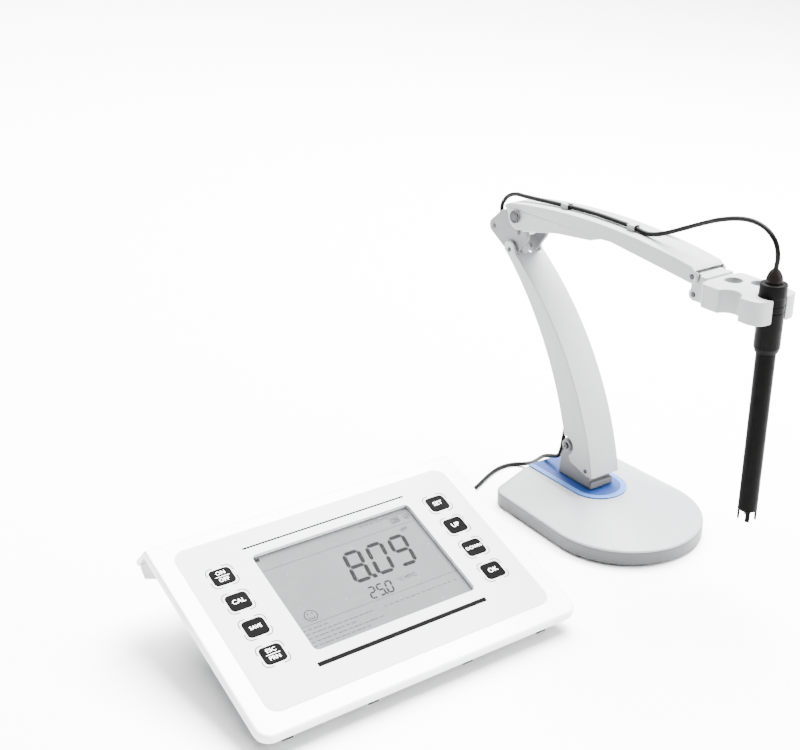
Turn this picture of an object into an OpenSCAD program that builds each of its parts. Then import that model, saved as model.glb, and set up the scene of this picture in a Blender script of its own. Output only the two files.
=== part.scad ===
// Bench pH meter with a jointed electrode stand.
// The meter and the stand face the same way: +X right, +Y to the rear, +Z up.

/* [Meter case] */
// Width of the sloping face
case_w = 222; // [200:1:260]
// Length of the sloping face, front edge to ridge
case_d = 147; // [140:1:180]
// Slope of the face above the bench, degrees
case_tilt = 19; // [14:1:22]
// Height of the face at its front edge
front_h = 15; // [12:0.5:18]
// Depth of the cover's rim
rim_h = 6; // [5:0.5:7]
// Wall thickness of the cover and the tray
skin = 2.4; // [2:0.1:2.8]
// Length of the sloping rear flange
flange_l = 28; // [24:1:32]
// Width of the foot that holds the case up
foot_w = 132; // [110:1:150]

/* [Display and keys] */
// Width of the display window
window_w = 114; // [100:1:118]
// Height of the display window
window_h = 78; // [70:1:84]
// Width of a key
key_w = 13.6; // [12:0.2:15]
// Height of a key
key_h = 12; // [11:0.2:13]
// Distance between neighbouring keys in a column
key_pitch = 20.7; // [18:0.1:22]
// Travel of a key
key_travel = 0.5; // [0.3:0.1:0.6]

/* [Stand base] */
// Radius of the base's round front
base_r = 56.5; // [50:0.5:66]
// Length of the base, rear edge to round front
base_l = 136; // [126:1:150]
// Height of the base's side wall
base_h = 12; // [10:0.5:15]
// Rise of the base's crown above the wall
crown_h = 8.5; // [6:0.5:10]
// Distance between the meter's right edge and the base
base_gap = 53.5; // [40:0.5:80]

/* [Arms] */
// Pivot distance of the lower arm
lower_len = 167.4; // [150:0.2:190]
// Backward lean of the lower arm from upright, degrees
lower_lean = 33.5; // [28:0.5:38]
// Pivot distance of the upper arm
upper_len = 167.8; // [150:0.2:190]
// Width of both arms
arm_w = 26; // [24:0.5:30]
// Wall thickness of both arms
arm_wall = 2.4; // [2:0.1:2.6]
// Diameter of the small pivot pins
pin_d = 3; // [2.5:0.1:4]
// Diameter of the two main axles
axle_d = 5; // [4:0.1:5.5]

/* [Electrode] */
// Diameter of the electrode's shaft
probe_d = 12; // [10:0.5:13]
// Diameter of the electrode's cap
cap_d = 16.4; // [15:0.2:18]
// Length from the cap's collar to the tip
probe_len = 156; // [140:1:160]
// Diameter of the lead
lead_d = 3; // [2.6:0.1:3.4]

/* [Hidden] */
$fn = 48;
eps = 0.01;
slip = 0.05;   // running clearance of a pin in its hole, on the radius
side_gap = 0.3; // gap between faces that turn past each other
fit_gap = 0.3; // gap between pieces that are dropped in

// ---- meter: places in the case's own sloping frame, face at height 0 ----
corner_r = 9;
flange_t = 3;
flange_slope = 45;
tray_in = skin + fit_gap;
tray_depth = 11;
tray_front = 4;
boss_d = 6.4;
screw_d = 2.6;
screw_head_d = 5.2;
screw_head_h = 2;
screw_inset = 9;
board_t = 1.6;
board_z = -rim_h - 0.2;       // top of the main board
window_y = 40;
window_x = (case_w - window_w) / 2 + 2;
key_inset = 33;
key_y = 48.3;                  // centre of the lowest key
key_proud = 0.6;
key_lip = 0.8;
key_gap = 0.25;
switch_w = 6;
switch_h = 1.5;
plunger_d = 3;
lens_t = 1.4;
glass_t = 2;
frame_w = 3;
// height of the tray's underside above the bench, at a distance from the front
function under_tray(y) = front_h + (y - tray_depth * sin(case_tilt)) * tan(case_tilt) - tray_depth * cos(case_tilt);
foot_front = 11;
foot_x = (case_w - foot_w) / 2;
foot_y = 42;
foot_rear = 132;
foot_lift = 2;
pad_d = 9;
socket_z = 22;
board_gap = 3;
ph_x = case_w / 2 + 42;
temp_x = case_w / 2 + 18;
serial_x = case_w / 2 - 12;
power_x = case_w / 2 - 44;
ph_d = 9.6;
temp_d = 8;
power_d = 8;
sockets = [[ph_x, socket_z, ph_d], [temp_x, socket_z, temp_d], [power_x, socket_z, power_d]];
ph_out = 9;

// ---- stand: places along its own forward direction, from the swivel's axis ----
stand_x = case_w + base_gap + base_r;
stand_y = 119;
base_lift = 1;
base_wall = 3;
base_rear = 41;
base_front = base_l - base_rear - base_r;   // centre of the round front
rear_r = 13;
plateau_h = base_h + crown_h;
trim_t = 1;
trim_r = 21;
washer_t = 0.5;
block_z = plateau_h + trim_t + washer_t;
block_half = arm_w / 2 - arm_wall - side_gap;
block_l = 34.6;
bolt_d = 6;
link_half = 3;
slot_half = link_half + side_gap;
ear_r = 5.5;
boss_r = 4.5;
notch_r = 7;

// pivots: [forward, up]
a1 = [-8, block_z + 25.5];
a2 = [13, block_z + 13.5];
lower_v = lower_len * [-sin(lower_lean), cos(lower_lean)];
b1 = a1 + lower_v;
b2 = a2 + lower_v;
c1 = b2 + [7, 26];
c2 = c1 - [0, 12];
upper_v = [upper_len, 2.7];
d1 = c1 + upper_v;
d2 = c2 + upper_v;

// electrode and its holder
probe_x = d1[0] + 51.8;
holder_t = 15;
holder_top = d1[1] + 0.5;
holder_half = 18;
collar_d = cap_d + 1;
collar_h = 8;
cap_h = 40;
gland_h = 8.5;
tip_h = 7;
plug_l = 30;
plug_y = foot_rear + ph_out + 1;
plug_end = [stand_y - plug_y - plug_l - 8, ph_x - stand_x, socket_z];
probe_z = holder_top + eps;
hole_d = 11;
side_hole_d = 10;

// origin: middle of the whole object's footprint, on the bench
side_x = stand_x + base_r;
front_y = stand_y - probe_x - collar_d / 2;
rear_y = stand_y - b1[0] + ear_r;
origin = [side_x / 2, (front_y + rear_y) / 2, 0];

module in_layout() { translate(-origin) children(); }
module in_case() { in_layout() translate([0, 0, front_h]) rotate([case_tilt, 0, 0]) children(); }
module in_stand() { in_layout() translate([stand_x, stand_y, 0]) rotate([0, 0, -90]) children(); }

// a flat profile drawn as [forward, up], thickened to both sides by half
module side_plate(half) { rotate([90, 0, 0]) linear_extrude(2 * half, center = true) children(); }
module cross_bar(p, d, y0, y1) {
    translate([p[0], y0, p[1]]) rotate([-90, 0, 0]) cylinder(d = d, h = y1 - y0);
}
module both_sides() {
    children();
    mirror([0, 1, 0]) children();
}

// ---- outlines ----
function corner(c, r, a, n = 8) = [for (i = [0:n]) c + r * [cos(a + 90 * i / n), sin(a + 90 * i / n)]];
function rounded(w, h, r) = concat(corner([w - r, h - r], r, 0), corner([r, h - r], r, 90),
    corner([r, r], r, 180), corner([w - r, r], r, 270));
// an arc from p to q that bulges by sag to the right of the way from p to q
function arc(p, q, sag, n = 20) =
    let (l = norm(q - p), r = (l * l / 4 + sag * sag) / (2 * abs(sag)), half = asin(l / 2 / r),
        u = (q - p) / l, w = sign(sag) * [u[1], -u[0]], m = (p + q) / 2)
    [for (i = [0:n]) let (a = half * (2 * i / n - 1)) m + r * sin(a) * u + r * (cos(a) - cos(half)) * w];
function turned(c, r, a0, a1, n = 12) =
    [for (i = [0:n]) let (a = a0 + (a1 - a0) * i / n) c + r * [cos(a), sin(a)]];

// ================= meter =================
module key_at(side, row) {
    x = side == 0 ? key_inset : case_w - key_inset;
    translate([x, key_y + row * key_pitch, 0]) children();
}
module each_key() {
    for (side = [0, 1], row = [0:3]) key_at(side, row) children();
}
module screw_at() {
    for (x = [screw_inset, case_w - screw_inset], y = [14, case_d / 2, case_d - 18])
        translate([x, y, 0]) children();
}

// the cover's side profile: sloping plate, ridge and rear flange, as [along the face, up]
leg_a = flange_slope + case_tilt;
leg_dir = [cos(leg_a), -sin(leg_a)];
leg_in = [-sin(leg_a), -cos(leg_a)];
ridge = [case_d, 0];
cover_profile = [[0, -rim_h], [0, 0], ridge, ridge + leg_dir * flange_l,
    ridge + leg_dir * flange_l + leg_in * flange_t,
    ridge + leg_in * flange_t + leg_dir * (rim_h - flange_t * cos(leg_a)) / sin(leg_a)];
module corner_waste(r) {
    translate([0, 0, -40]) linear_extrude(80) difference() {
        translate([-1, -1]) square(r + 1);
        translate([r, r]) circle(r = r);
    }
}
module both_ends() {
    children();
    translate([case_w, 0, 0]) mirror([1, 0, 0]) children();
}
module top_cover() {
    color("white") in_case() difference() {
        union() {
            difference() {
                rotate([90, 0, 90]) linear_extrude(case_w) polygon(cover_profile);
                both_ends() {
                    corner_waste(corner_r);
                    translate([0, case_d, 0]) rotate([-leg_a, 0, 0]) translate([0, flange_l, 0])
                        mirror([0, 1, 0]) translate([0, 0, 30]) corner_waste(corner_r);
                }
                translate([skin, skin, -rim_h - 20]) linear_extrude(rim_h + 20 - skin)
                    polygon(rounded(case_w - 2 * skin, case_d - 2 * skin, corner_r - skin));
            }
            screw_at() translate([0, 0, -rim_h - board_t]) cylinder(d = boss_d, h = rim_h + board_t - skin / 2);
        }
        translate([window_x, window_y, -skin - 1]) cube([window_w, window_h, skin + 2]);
        each_key() translate([-key_w / 2 - key_gap, -key_h / 2 - key_gap, -skin - 1])
            cube([key_w + 2 * key_gap, key_h + 2 * key_gap, skin + 2]);
        screw_at() translate([0, 0, -rim_h - board_t - eps]) cylinder(d = screw_d, h = rim_h + board_t - skin);
    }
}

// the tray's side profile: [along the face, down]
ridge_in = ridge + leg_in * (flange_t + fit_gap) + leg_dir * 6;
leg_end = ridge + leg_in * (flange_t + fit_gap) + leg_dir * (flange_l - 3);
leg_t = 8;
module tray_profile(w) {
    polygon([[tray_in + w, -skin - fit_gap + (w > 0 ? 5 : 0)], [tray_in + w, -tray_depth + 3 + w / 2],
        [tray_in + tray_front + w, -tray_depth + w], [case_d - 15 - w / 2, -tray_depth + w],
        leg_end + leg_in * (leg_t - w) - leg_dir * w, leg_end - leg_dir * w + leg_in * w,
        ridge_in + leg_in * w, [case_d - 9 - w, -skin - fit_gap + (w > 0 ? 5 : 0)]]);
}
module case_tray() {
    color("gainsboro") in_case() difference() {
        translate([tray_in, 0, 0]) rotate([90, 0, 90]) linear_extrude(case_w - 2 * tray_in) tray_profile(0);
        translate([tray_in + skin, 0, 0]) rotate([90, 0, 90])
            linear_extrude(case_w - 2 * tray_in - 2 * skin) tray_profile(skin);
        translate([-1, case_d - corner_r - 1, -rim_h - fit_gap]) cube([case_w + 2, 60, 40]);
        both_ends() translate([tray_in, tray_in, 0]) corner_waste(corner_r - tray_in);
        screw_at() {
            translate([0, 0, -rim_h - board_t - fit_gap]) cylinder(d = boss_d + 2 * fit_gap, h = 20);
            translate([0, 0, -tray_depth - 1]) cylinder(d = screw_head_d + 0.6, h = 1 + screw_head_h);
            translate([0, 0, -tray_depth - 1]) cylinder(d = screw_d + 0.4, h = 8);
        }
        translate([case_w / 2 - 30, foot_y + 30, -tray_depth - 1]) cube([60, 24, skin + 2]);
    }
}
module case_screws() {
    color("silver") in_case() screw_at() {
        translate([0, 0, -tray_depth]) cylinder(d = screw_head_d, h = screw_head_h);
        translate([0, 0, -tray_depth]) cylinder(d = screw_d, h = tray_depth - skin - 0.6);
    }
}

module foot_block(w) {
    difference() {
        translate([foot_x + w, foot_y + w, foot_lift + w])
            cube([foot_w - 2 * w, foot_rear - foot_y - 2 * w, 70]);
        translate([0, 0, front_h]) rotate([case_tilt, 0, 0])
            translate([-1, -50, -tray_depth - (w > 0 ? -1 : 0)]) cube([case_w + 2, 300, 100]);
    }
}
module case_foot() {
    color("gainsboro") in_layout() difference() {
        foot_block(0);
        foot_block(skin);
        for (s = sockets) translate([s[0], foot_rear, s[1]]) rotate([90, 0, 0])
            translate([0, 0, -1]) cylinder(d = s[2] + 0.4, h = skin + 2);
        translate([serial_x - 15, foot_rear - skin - 1, socket_z - 5]) cube([30, skin + 2, 10]);
        translate([0, 0, front_h]) rotate([case_tilt, 0, 0]) rotate([90, 0, 90])
            linear_extrude(case_w) tray_profile(0);
        for (x = [foot_x + 14, case_w - foot_x - 14]) translate([x, foot_rear - 12, foot_lift - eps])
            cylinder(d = pad_d, h = 0.8);
    }
}

module case_feet() {
    color("dimgray") {
        in_layout() for (x = [21.5, 77.5]) for (place = [x, case_w - x]) translate([place - 3.5, 0, 0])
            rotate([90, 0, 90]) linear_extrude(7) polygon([[foot_front, 0], [foot_front + 6, 0],
                [foot_front + 6, under_tray(foot_front + 6)], [foot_front, under_tray(foot_front)]]);
        in_layout() for (x = [foot_x + 14, case_w - foot_x - 14]) translate([x, foot_rear - 12, 0])
            cylinder(d = pad_d - 0.2, h = foot_lift + 0.8 - eps);
    }
}

module display_lens() {
    color("lightgray", 0.6) in_case() translate([window_x + 0.2, window_y + 0.2, -lens_t - 0.3])
        cube([window_w - 0.4, window_h - 0.4, lens_t]);
}
module display_glass() {
    color("darkgray") in_case() translate([window_x - 1, window_y - 1, -skin - fit_gap - glass_t])
        cube([window_w + 2, window_h + 2, glass_t]);
}
module display_frame() {
    z = -skin - 0.1;
    color("dimgray") in_case() difference() {
        translate([window_x - 1 - frame_w, window_y - 1 - frame_w, board_z + eps])
            cube([window_w + 2 + 2 * frame_w, window_h + 2 + 2 * frame_w, z - board_z - eps]);
        translate([window_x - 1.2, window_y - 1.2, board_z - 1]) cube([window_w + 2.4, window_h + 2.4, 10]);
    }
}
module main_board() {
    color("green") in_case() difference() {
        translate([16, 22, board_z - board_t]) cube([case_w - 32, case_d - 42, board_t]);
        screw_at() translate([0, 0, -20]) cylinder(d = boss_d + 1, h = 20);
    }
}
module key_switches() {
    color("black") in_case() each_key() {
        translate([-switch_w / 2, -switch_w / 2, board_z]) cube([switch_w, switch_w, switch_h]);
        translate([0, 0, board_z + switch_h]) cylinder(d = plunger_d, h = 0.6);
    }
}
module key(side, row) {
    under = board_z + switch_h + 0.6 + key_travel + 0.1;
    color("black") in_case() key_at(side, row) {
        translate([-key_w / 2, -key_h / 2, -skin - 0.1]) cube([key_w, key_h, skin + 0.1 + key_proud]);
        translate([-key_w / 2 - 1, -key_h / 2 - 1, -skin - 0.1 - key_lip]) cube([key_w + 2, key_h + 2, key_lip]);
        translate([0, 0, under]) cylinder(d = plunger_d, h = -skin - 0.1 - key_lip - under + eps);
    }
}

module socket_board() {
    color("green") in_layout() translate([foot_x + 8, foot_rear - skin - board_gap - board_t, foot_lift + skin + 2])
        cube([foot_w - 16, board_t, 28]);
}
module panel_socket(s, out, bore) {
    in_layout() translate([s[0], foot_rear - skin - board_gap, s[1]]) rotate([-90, 0, 0]) difference() {
        union() {
            cylinder(d = s[2] + 4, h = board_gap - 0.1);
            cylinder(d = s[2], h = board_gap + skin + out);
        }
        translate([0, 0, 2]) cylinder(d = bore, h = board_gap + skin + out);
    }
}
module ph_socket() { color("silver") panel_socket(sockets[0], ph_out, 7); }
module temp_socket() { color("dimgray") panel_socket(sockets[1], 1, 5); }
module power_socket() { color("black") panel_socket(sockets[2], 0.6, 5.5); }
module serial_socket() {
    color("silver") in_layout() translate([serial_x, foot_rear - skin - board_gap, socket_z]) difference() {
        translate([-14.8, 0, -4.8]) cube([29.6, board_gap + skin + 3, 9.6]);
        translate([-9, 3, -3.5]) cube([18, board_gap + skin + 3, 7]);
    }
}

// ================= stand =================
function base_outline(inset) =
    let (r = base_r - inset, x = -base_rear + inset, q = rear_r - inset)
    concat(turned([base_front, 0], r, -90, 90, 48), corner([x + q, r - 2 - q], q, 90),
        corner([x + q, -(r - 2 - q)], q, 180));
function tongue(r) = concat(turned([12.5, 0], r, -90, 90, 24), [[-base_rear + 2.5, r], [-base_rear + 2.5, -r]]);

module stand_base() {
    cavity = base_h - base_wall;
    color("whitesmoke") in_stand() difference() {
        union() {
            translate([0, 0, base_lift]) linear_extrude(base_h - base_lift) polygon(base_outline(0));
            hull() {
                translate([0, 0, base_h - eps]) linear_extrude(eps) polygon(base_outline(1.5));
                translate([0, 0, plateau_h - 1]) linear_extrude(1) polygon(tongue(trim_r + 4));
            }
        }
        translate([0, 0, -1]) linear_extrude(cavity + 1) polygon(base_outline(base_wall));
        translate([0, 0, -1]) cylinder(d = bolt_d, h = 60);
        translate([0, 0, cavity - 1]) cylinder(d = 14, h = 1 + plateau_h - 5 - cavity);
    }
}
module base_weight() {
    cavity = base_h - base_wall;
    color("dimgray") in_stand() difference() {
        translate([0, 0, base_lift + 1]) linear_extrude(cavity - base_lift - 1)
            polygon(base_outline(base_wall + 0.5));
        translate([0, 0, -1]) cylinder(d = 18, h = 60);
    }
}
module base_feet() {
    color("black") in_stand() for (p = [[-28, 38], [-28, -38], [66, 30], [66, -30]])
        translate([p[0], p[1], 0]) cylinder(d = 14, h = base_lift + 1);
}
module base_trim() {
    color("cornflowerblue") in_stand() difference() {
        translate([0, 0, plateau_h]) linear_extrude(trim_t) polygon(tongue(trim_r));
        translate([0, 0, plateau_h - 1]) cylinder(d = bolt_d, h = 10);
    }
}
module swivel_washer() {
    color("black") in_stand() translate([0, 0, plateau_h + trim_t]) difference() {
        cylinder(d = 18, h = washer_t - eps);
        translate([0, 0, -1]) cylinder(d = bolt_d, h = 5);
    }
}
module swivel_bolt() {
    color("silver") in_stand() {
        translate([0, 0, plateau_h - 5 - 3]) cylinder(d = 11, h = 3);
        translate([0, 0, plateau_h - 5]) cylinder(d = bolt_d, h = 5 + trim_t + washer_t + 9);
    }
}

module pivot_block() {
    half_l = block_l / 2;
    color("lightgray") in_stand() difference() {
        union() {
            side_plate(block_half) polygon(concat([[-half_l, block_z], [half_l, block_z], [half_l, block_z + 5],
                [a2[0] + 1.2, block_z + 5]], turned(a2, 3.8, -70, 80), turned(a1, ear_r, 60, 190),
                [[-half_l + 1, block_z + 14]]));
            both_sides() cross_bar(a1, 2 * boss_r, block_half - eps, arm_w / 2);
        }
        translate([-half_l - 20, -slot_half, a1[1] - ear_r - 2]) cube([half_l + 20, 2 * slot_half, 40]);
        cross_bar(a1, axle_d, -arm_w, arm_w);
        cross_bar(a2, pin_d, -arm_w, arm_w);
        translate([0, 0, block_z - 1]) cylinder(d = bolt_d + 2 * slip, h = 11);
    }
}
module block_axle() {
    color("silver") in_stand() {
        cross_bar(a1, axle_d, -arm_w / 2 - 0.4, arm_w / 2 + 0.4);
    }
}
module block_pins() {
    color("silver") in_stand() cross_bar(a2, pin_d, -arm_w / 2 - 0.2, arm_w / 2 + 0.2);
}

front_low = a2 + [7.2, -3.5];
front_high = b2 + [7.5, -2];
rear_low = a2 + [-23.8, 18];
rear_high = b2 + [-5.6, -0.8];
lower_sag = 16.3;
module lower_arm() {
    step = arm_wall * [front_high[1] - front_low[1], front_low[0] - front_high[0]] / norm(front_high - front_low);
    color("whitesmoke") in_stand() difference() {
        side_plate(arm_w / 2) difference() {
            polygon(concat([a2 + [-16.3, 0.8], a2 + [0.9, -3.6]], arc(front_low, front_high, lower_sag),
                turned(b2, 6.2, 40, 150), arc(rear_high, rear_low, -10.6)));
            translate(a1) circle(r = notch_r);
        }
        side_plate(arm_w / 2 - arm_wall) polygon(concat([front_low - step - [0, 20]],
            arc(front_low - step, front_high - step, lower_sag),
            [front_high + [12, 2], b2 + [12, 40], b2 + [-40, 40], a1 + [-60, 0], a1 + [0, -40]]));
        cross_bar(a2, pin_d + 2 * slip, -arm_w, arm_w);
        cross_bar(b2, pin_d + 2 * slip, -arm_w, arm_w);
    }
}
link_w = 6;
link_sag = 18;
module lower_link() {
    outward = link_w / 2 * [b1[1] - a1[1], a1[0] - b1[0]] / norm(b1 - a1);
    color("gray") in_stand() difference() {
        side_plate(link_half) union() {
            polygon(concat(arc(a1 + outward, b1 + outward, link_sag), arc(b1 - outward, a1 - outward, -link_sag)));
            translate(a1) circle(d = axle_d + 4);
            translate(b1) circle(d = pin_d + 5);
        }
        cross_bar(a1, axle_d + 2 * slip, -arm_w, arm_w);
        cross_bar(b1, pin_d + 6 * slip, -arm_w, arm_w);
    }
}

cheek_t = 2.8;
module elbow_bracket() {
    color("lightgray") in_stand() difference() {
        union() {
            side_plate(block_half) hull() {
                translate(b1) circle(r = ear_r, $fn = 32);
                translate(b2) circle(r = ear_r, $fn = 32);
                translate(c1) circle(r = 5.8, $fn = 32);
                translate(c1 + [-18.5, -3]) circle(r = 3.2, $fn = 32);
                translate(c2 + [2, -1]) circle(r = 7, $fn = 32);
            }
        }
        difference() {
            translate([b1[0] - 20, -block_half + cheek_t, b2[1] - 20]) cube([60, 2 * (block_half - cheek_t), 70]);
            translate([c1[0] - 12, -block_half, c2[1] - 3]) cube([4, 2 * block_half, 30]);
        }
        cross_bar(b1, pin_d, -arm_w, arm_w);
        cross_bar(b2, pin_d, -arm_w, arm_w);
        cross_bar(c1, axle_d, -arm_w, arm_w);
        cross_bar(c2, pin_d, -arm_w, arm_w);
    }
}
module elbow_axle() {
    color("silver") in_stand() cross_bar(c1, axle_d, -arm_w / 2 - 0.4, arm_w / 2 + 0.4);
    color("whitesmoke") in_stand() both_sides() difference() {
        cross_bar(c1, 2 * boss_r, arm_w / 2 + 0.1, arm_w / 2 + 2.5);
        cross_bar(c1, axle_d, 0, arm_w / 2 + 0.4);
    }
}
module elbow_pins() {
    color("silver") in_stand() {
        cross_bar(b1, pin_d, -block_half - 0.2, block_half + 0.2);
        cross_bar(c2, pin_d, -block_half, block_half);
        both_sides() cross_bar(b2, pin_d, block_half - cheek_t, arm_w / 2 + 0.2);
    }
}

end_r = 4.6;
module upper_arm_side() {
    low = [c1 + [7, -9.5], c1 + [43, -1.8], c1 + [76, 1.8], c1 + [86, 5.2], c1 + [95, 5.8]];
    polygon(concat(low, turned(d1, end_r, -100, 80), arc(d1 + [-0.8, 6.3], c1 + [-3, 9], 6.6),
        arc(c1 + [-7, 8.2], c1 + [-14, 5], 0.6), turned(c1, 9.6, 180, 300)));
}
module upper_arm() {
    color("white") in_stand() difference() {
        side_plate(arm_w / 2) upper_arm_side();
        side_plate(arm_w / 2 - arm_wall) polygon(concat([[c1[0] - 40, 100], [d1[0] + 30, 100],
            d1 + [30, 6.3 - arm_wall]], arc(d1 + [-0.8, 6.3 - arm_wall], c1 + [-3, 9 - arm_wall], 6.6),
            [c1 + [-12, 4.2], c1 + [-40, 4.2]]));
        cross_bar(c1, axle_d + 2 * slip, -arm_w, arm_w);
        cross_bar(d1, pin_d + 2 * slip, -arm_w, arm_w);
        translate([c1[0] + 120, 1.5, c1[1] + 12.6]) cube([22, 9, 6]);
    }
}
// the upper link rises quickly at both ends and runs level inside the arm
bow_h = 16;
bow_half = 2;
function bow(off, n = 24) = [for (i = [0:n]) let (u = 2 * i / n - 1)
    c2 + upper_v * (i / n) + [0, bow_h * (1 - pow(u, 4)) + off]];
function backward(list) = [for (i = [len(list) - 1:-1:0]) list[i]];
module upper_link() {
    color("gray") in_stand() difference() {
        side_plate(link_half) union() {
            polygon(concat(bow(-bow_half), backward(bow(bow_half))));
            translate(c2) circle(d = pin_d + 4);
            translate(d2) circle(d = pin_d + 4);
        }
        cross_bar(c2, pin_d + 2 * slip, -arm_w, arm_w);
        cross_bar(d2, pin_d + 6 * slip, -arm_w, arm_w);
    }
}

// holder: a flat claw with a hole, a side hole, an open notch and a fork
module holder_plan() {
    hw = holder_half;
    f = probe_x;
    difference() {
        polygon([[f - 46, 12], [f - 41, 12], [f - 40, hw - 2], [f - 38, hw], [f - 2, hw], [f + 3, hw - 1.5],
            [f + 5.4, hw - 5], [f + 6, hw - 9], [f + 6, 9 - hw], [f + 5.4, 5 - hw], [f + 3, 1.5 - hw],
            [f - 2, -hw], [f - 38, -hw], [f - 40, 2 - hw], [f - 41, -12], [f - 46, -12]]);
        translate([f, -5.5]) square([20, 11]);
        translate([f - 17, -hw - 1]) circle(r = 8);
    }
}
module probe_holder() {
    tongue_half = block_half;
    bottom = holder_top - holder_t;
    color("white") in_stand() difference() {
        union() {
            translate([0, 0, bottom]) linear_extrude(holder_t) holder_plan();
            side_plate(tongue_half) polygon(concat(turned(d2, 4, 130, 270), [[probe_x - 45, d2[1] - 4],
                [probe_x - 45, holder_top + 1.4]], turned(d1, 3.4, 60, 230)));
            translate([probe_x - 46, -12, holder_top - eps]) cube([5, 24, 1.4 + eps]);
        }
        translate([probe_x - 32.3, 2.6, bottom - 1]) cylinder(d = hole_d, h = holder_t + 5);
        translate([probe_x - 19.8, 11.3, bottom - 1]) cylinder(d = side_hole_d, h = holder_t + 5);
        translate([probe_x, 0, bottom - 1]) cylinder(d = cap_d + 0.2, h = holder_t + 5);
        translate([d2[0] - 10, -slot_half, d2[1] - 8]) cube([15, 2 * slot_half, 14]);
        cross_bar(d1, pin_d, -arm_w, arm_w);
        cross_bar(d2, pin_d, -arm_w, arm_w);
    }
}
module holder_pins() {
    color("silver") in_stand() {
        cross_bar(d1, pin_d, -arm_w / 2 - 0.2, arm_w / 2 + 0.2);
        cross_bar(d2, pin_d, -block_half - 0.2, block_half + 0.2);
    }
}

// ---- electrode ----
module probe_cap() {
    color("black") in_stand() translate([probe_x, 0, probe_z]) {
        cylinder(d = collar_d, h = collar_h);
        translate([0, 0, -cap_h + collar_h]) difference() {
            union() {
                cylinder(d = cap_d, h = cap_h - collar_h);
                translate([0, 0, -3]) cylinder(d1 = probe_d + 1, d2 = cap_d, h = 3);
            }
            translate([0, 0, -4]) cylinder(d = probe_d, h = 14);
        }
    }
}
module probe_shaft() {
    top = probe_z - cap_h + collar_h + 10;
    bottom = probe_z + collar_h - probe_len + tip_h;
    color("black") in_stand() translate([probe_x, 0, bottom]) difference() {
        cylinder(d = probe_d, h = top - bottom);
        translate([0, 0, -1]) cylinder(d = probe_d - 3, h = 5);
    }
    color("black") in_stand() for (a = [45:90:315]) translate([probe_x, 0, bottom - tip_h]) rotate([0, 0, a])
        translate([probe_d / 2 - 1.4, -1.4, 0]) cube([1.2, 2.8, tip_h + 2]);
}
module probe_tip() {
    bottom = probe_z + collar_h - probe_len + tip_h;
    color("lightcyan", 0.6) in_stand() translate([probe_x, 0, bottom - 0.5]) {
        sphere(d = 7);
        cylinder(d = 5, h = 4.5);
    }
}
module probe_gland() {
    color("dimgray") in_stand() translate([probe_x, 0, probe_z + collar_h])
        rotate_extrude() polygon([[0, 0], [5.6, 0], [4.8, 3], [3.3, 6.2], [2.2, gland_h], [0, gland_h]]);
}

// ---- lead: one route from the electrode to the meter's socket ----
// [forward, side, up] from the swivel's axis; the part on the arms keeps its place on them
lead_y = -4;
inner_y = -5.4;
loop_route = [[0, 0, 0], [0.5, 0, 7], [-2, 0, 15], [-9, 0, 21], [-19, 0, 23.5], [-31, 0, 22.5],
    [-45, -1, 18.5], [-57, -1, 13.5], [-71, -2, 7], [-83, -3, 1.5], [-93, lead_y, -2.2], [-101, lead_y, -3.6]];
probe_top = [probe_x, 0, probe_z + collar_h + gland_h];
upper_route = [[34, 17.2], [20, 17.5], [0, 17.6], [-20, 16.8], [-40, 15.4]];
rear_route = [[-3, lead_y, 12.8], [-12, lead_y, 12.2], [-20.5, -4.6, 8.6], [-25.5, inner_y, 1],
    [-24, inner_y, -9.5], [-17.4, inner_y, -20]];
lower_route = [[-79, 169], [-67, 155], [-55, 141], [-44, 127], [-35, 113], [-28, 99], [-22, 85], [-17.8, 73]];
foot_route = [[-17, 64], [-18.2, 55], [-19.6, 46], [-21, 38], [-24, 31]];
fall_route = [[-31, -5.4, 27.6], [-39, -5, 24.1], [-46.5, -3.4, 18.6], [-54, -1.4, 12.4], [-62, 0.6, 6.9],
    [-70, 1, 2.6], [-75, -3, 1.5], [-77, -11, 1.5], [-76, -20, 1.5], [-72, -31, 1.5], [-66, -43, 1.5],
    [-60, -56, 1.5], [-58, -70, 1.5], [-62, -85, 1.5], [-72, -97, 1.5], [-85, -104, 1.5], [-97, -112, 1.5],
    [-104, -124, 1.5], [-106, -138, 1.5], [-104, -152, 1.5], [-98, -165, 2.5], [-89, -173, 7],
    [-79, -177.6, 14.5], [-69, -178.9, 20]];
route = concat([for (p = loop_route) probe_top + p], [for (p = upper_route) [c1[0] + 72.6 + p[0], lead_y, c1[1] + p[1]]],
    [for (p = rear_route) [c1[0] + p[0], p[1], c1[1] + p[2]]], [for (p = lower_route) [p[0], inner_y, p[1]]],
    [for (p = foot_route) [p[0], inner_y, p[1]]], fall_route, [plug_end]);
n_loop = len(loop_route) - 1;
n_apex = 4;
n_upper = n_loop + 6;
n_elbow = n_upper + 4;
n_rear = n_elbow + 2;
n_lower = n_rear + 7;
n_foot = n_lower + 5;
n_end = len(route) - 1;

function unit(v) = v / norm(v);
function along(i) = unit(route[min(i + 1, n_end)] - route[max(i - 1, 0)]);
function across(t) = unit(cross(t, abs(t[1]) < 0.9 ? [0, 1, 0] : [1, 0, 0]));
module tube(from, to, sides = 8) {
    r = lead_d / 2;
    rings = to - from;
    points = [for (i = [from:to]) let (t = along(i), u = across(t), w = cross(t, u))
        for (k = [0:sides - 1]) route[i] + r * (cos(360 * k / sides) * u + sin(360 * k / sides) * w)];
    walls = [for (i = [0:rings - 1], k = [0:sides - 1])
        let (a = i * sides + k, b = i * sides + (k + 1) % sides) for (f = [[a, a + sides, b], [b, a + sides, b + sides]]) f];
    ends = [[for (k = [0:sides - 1]) k], [for (k = [sides - 1:-1:0]) rings * sides + k]];
    color("black") in_stand() polyhedron(points, concat(walls, ends));
}
module lead_probe() { tube(0, n_apex); }
module lead_loop() { tube(n_apex, n_loop); }
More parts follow.
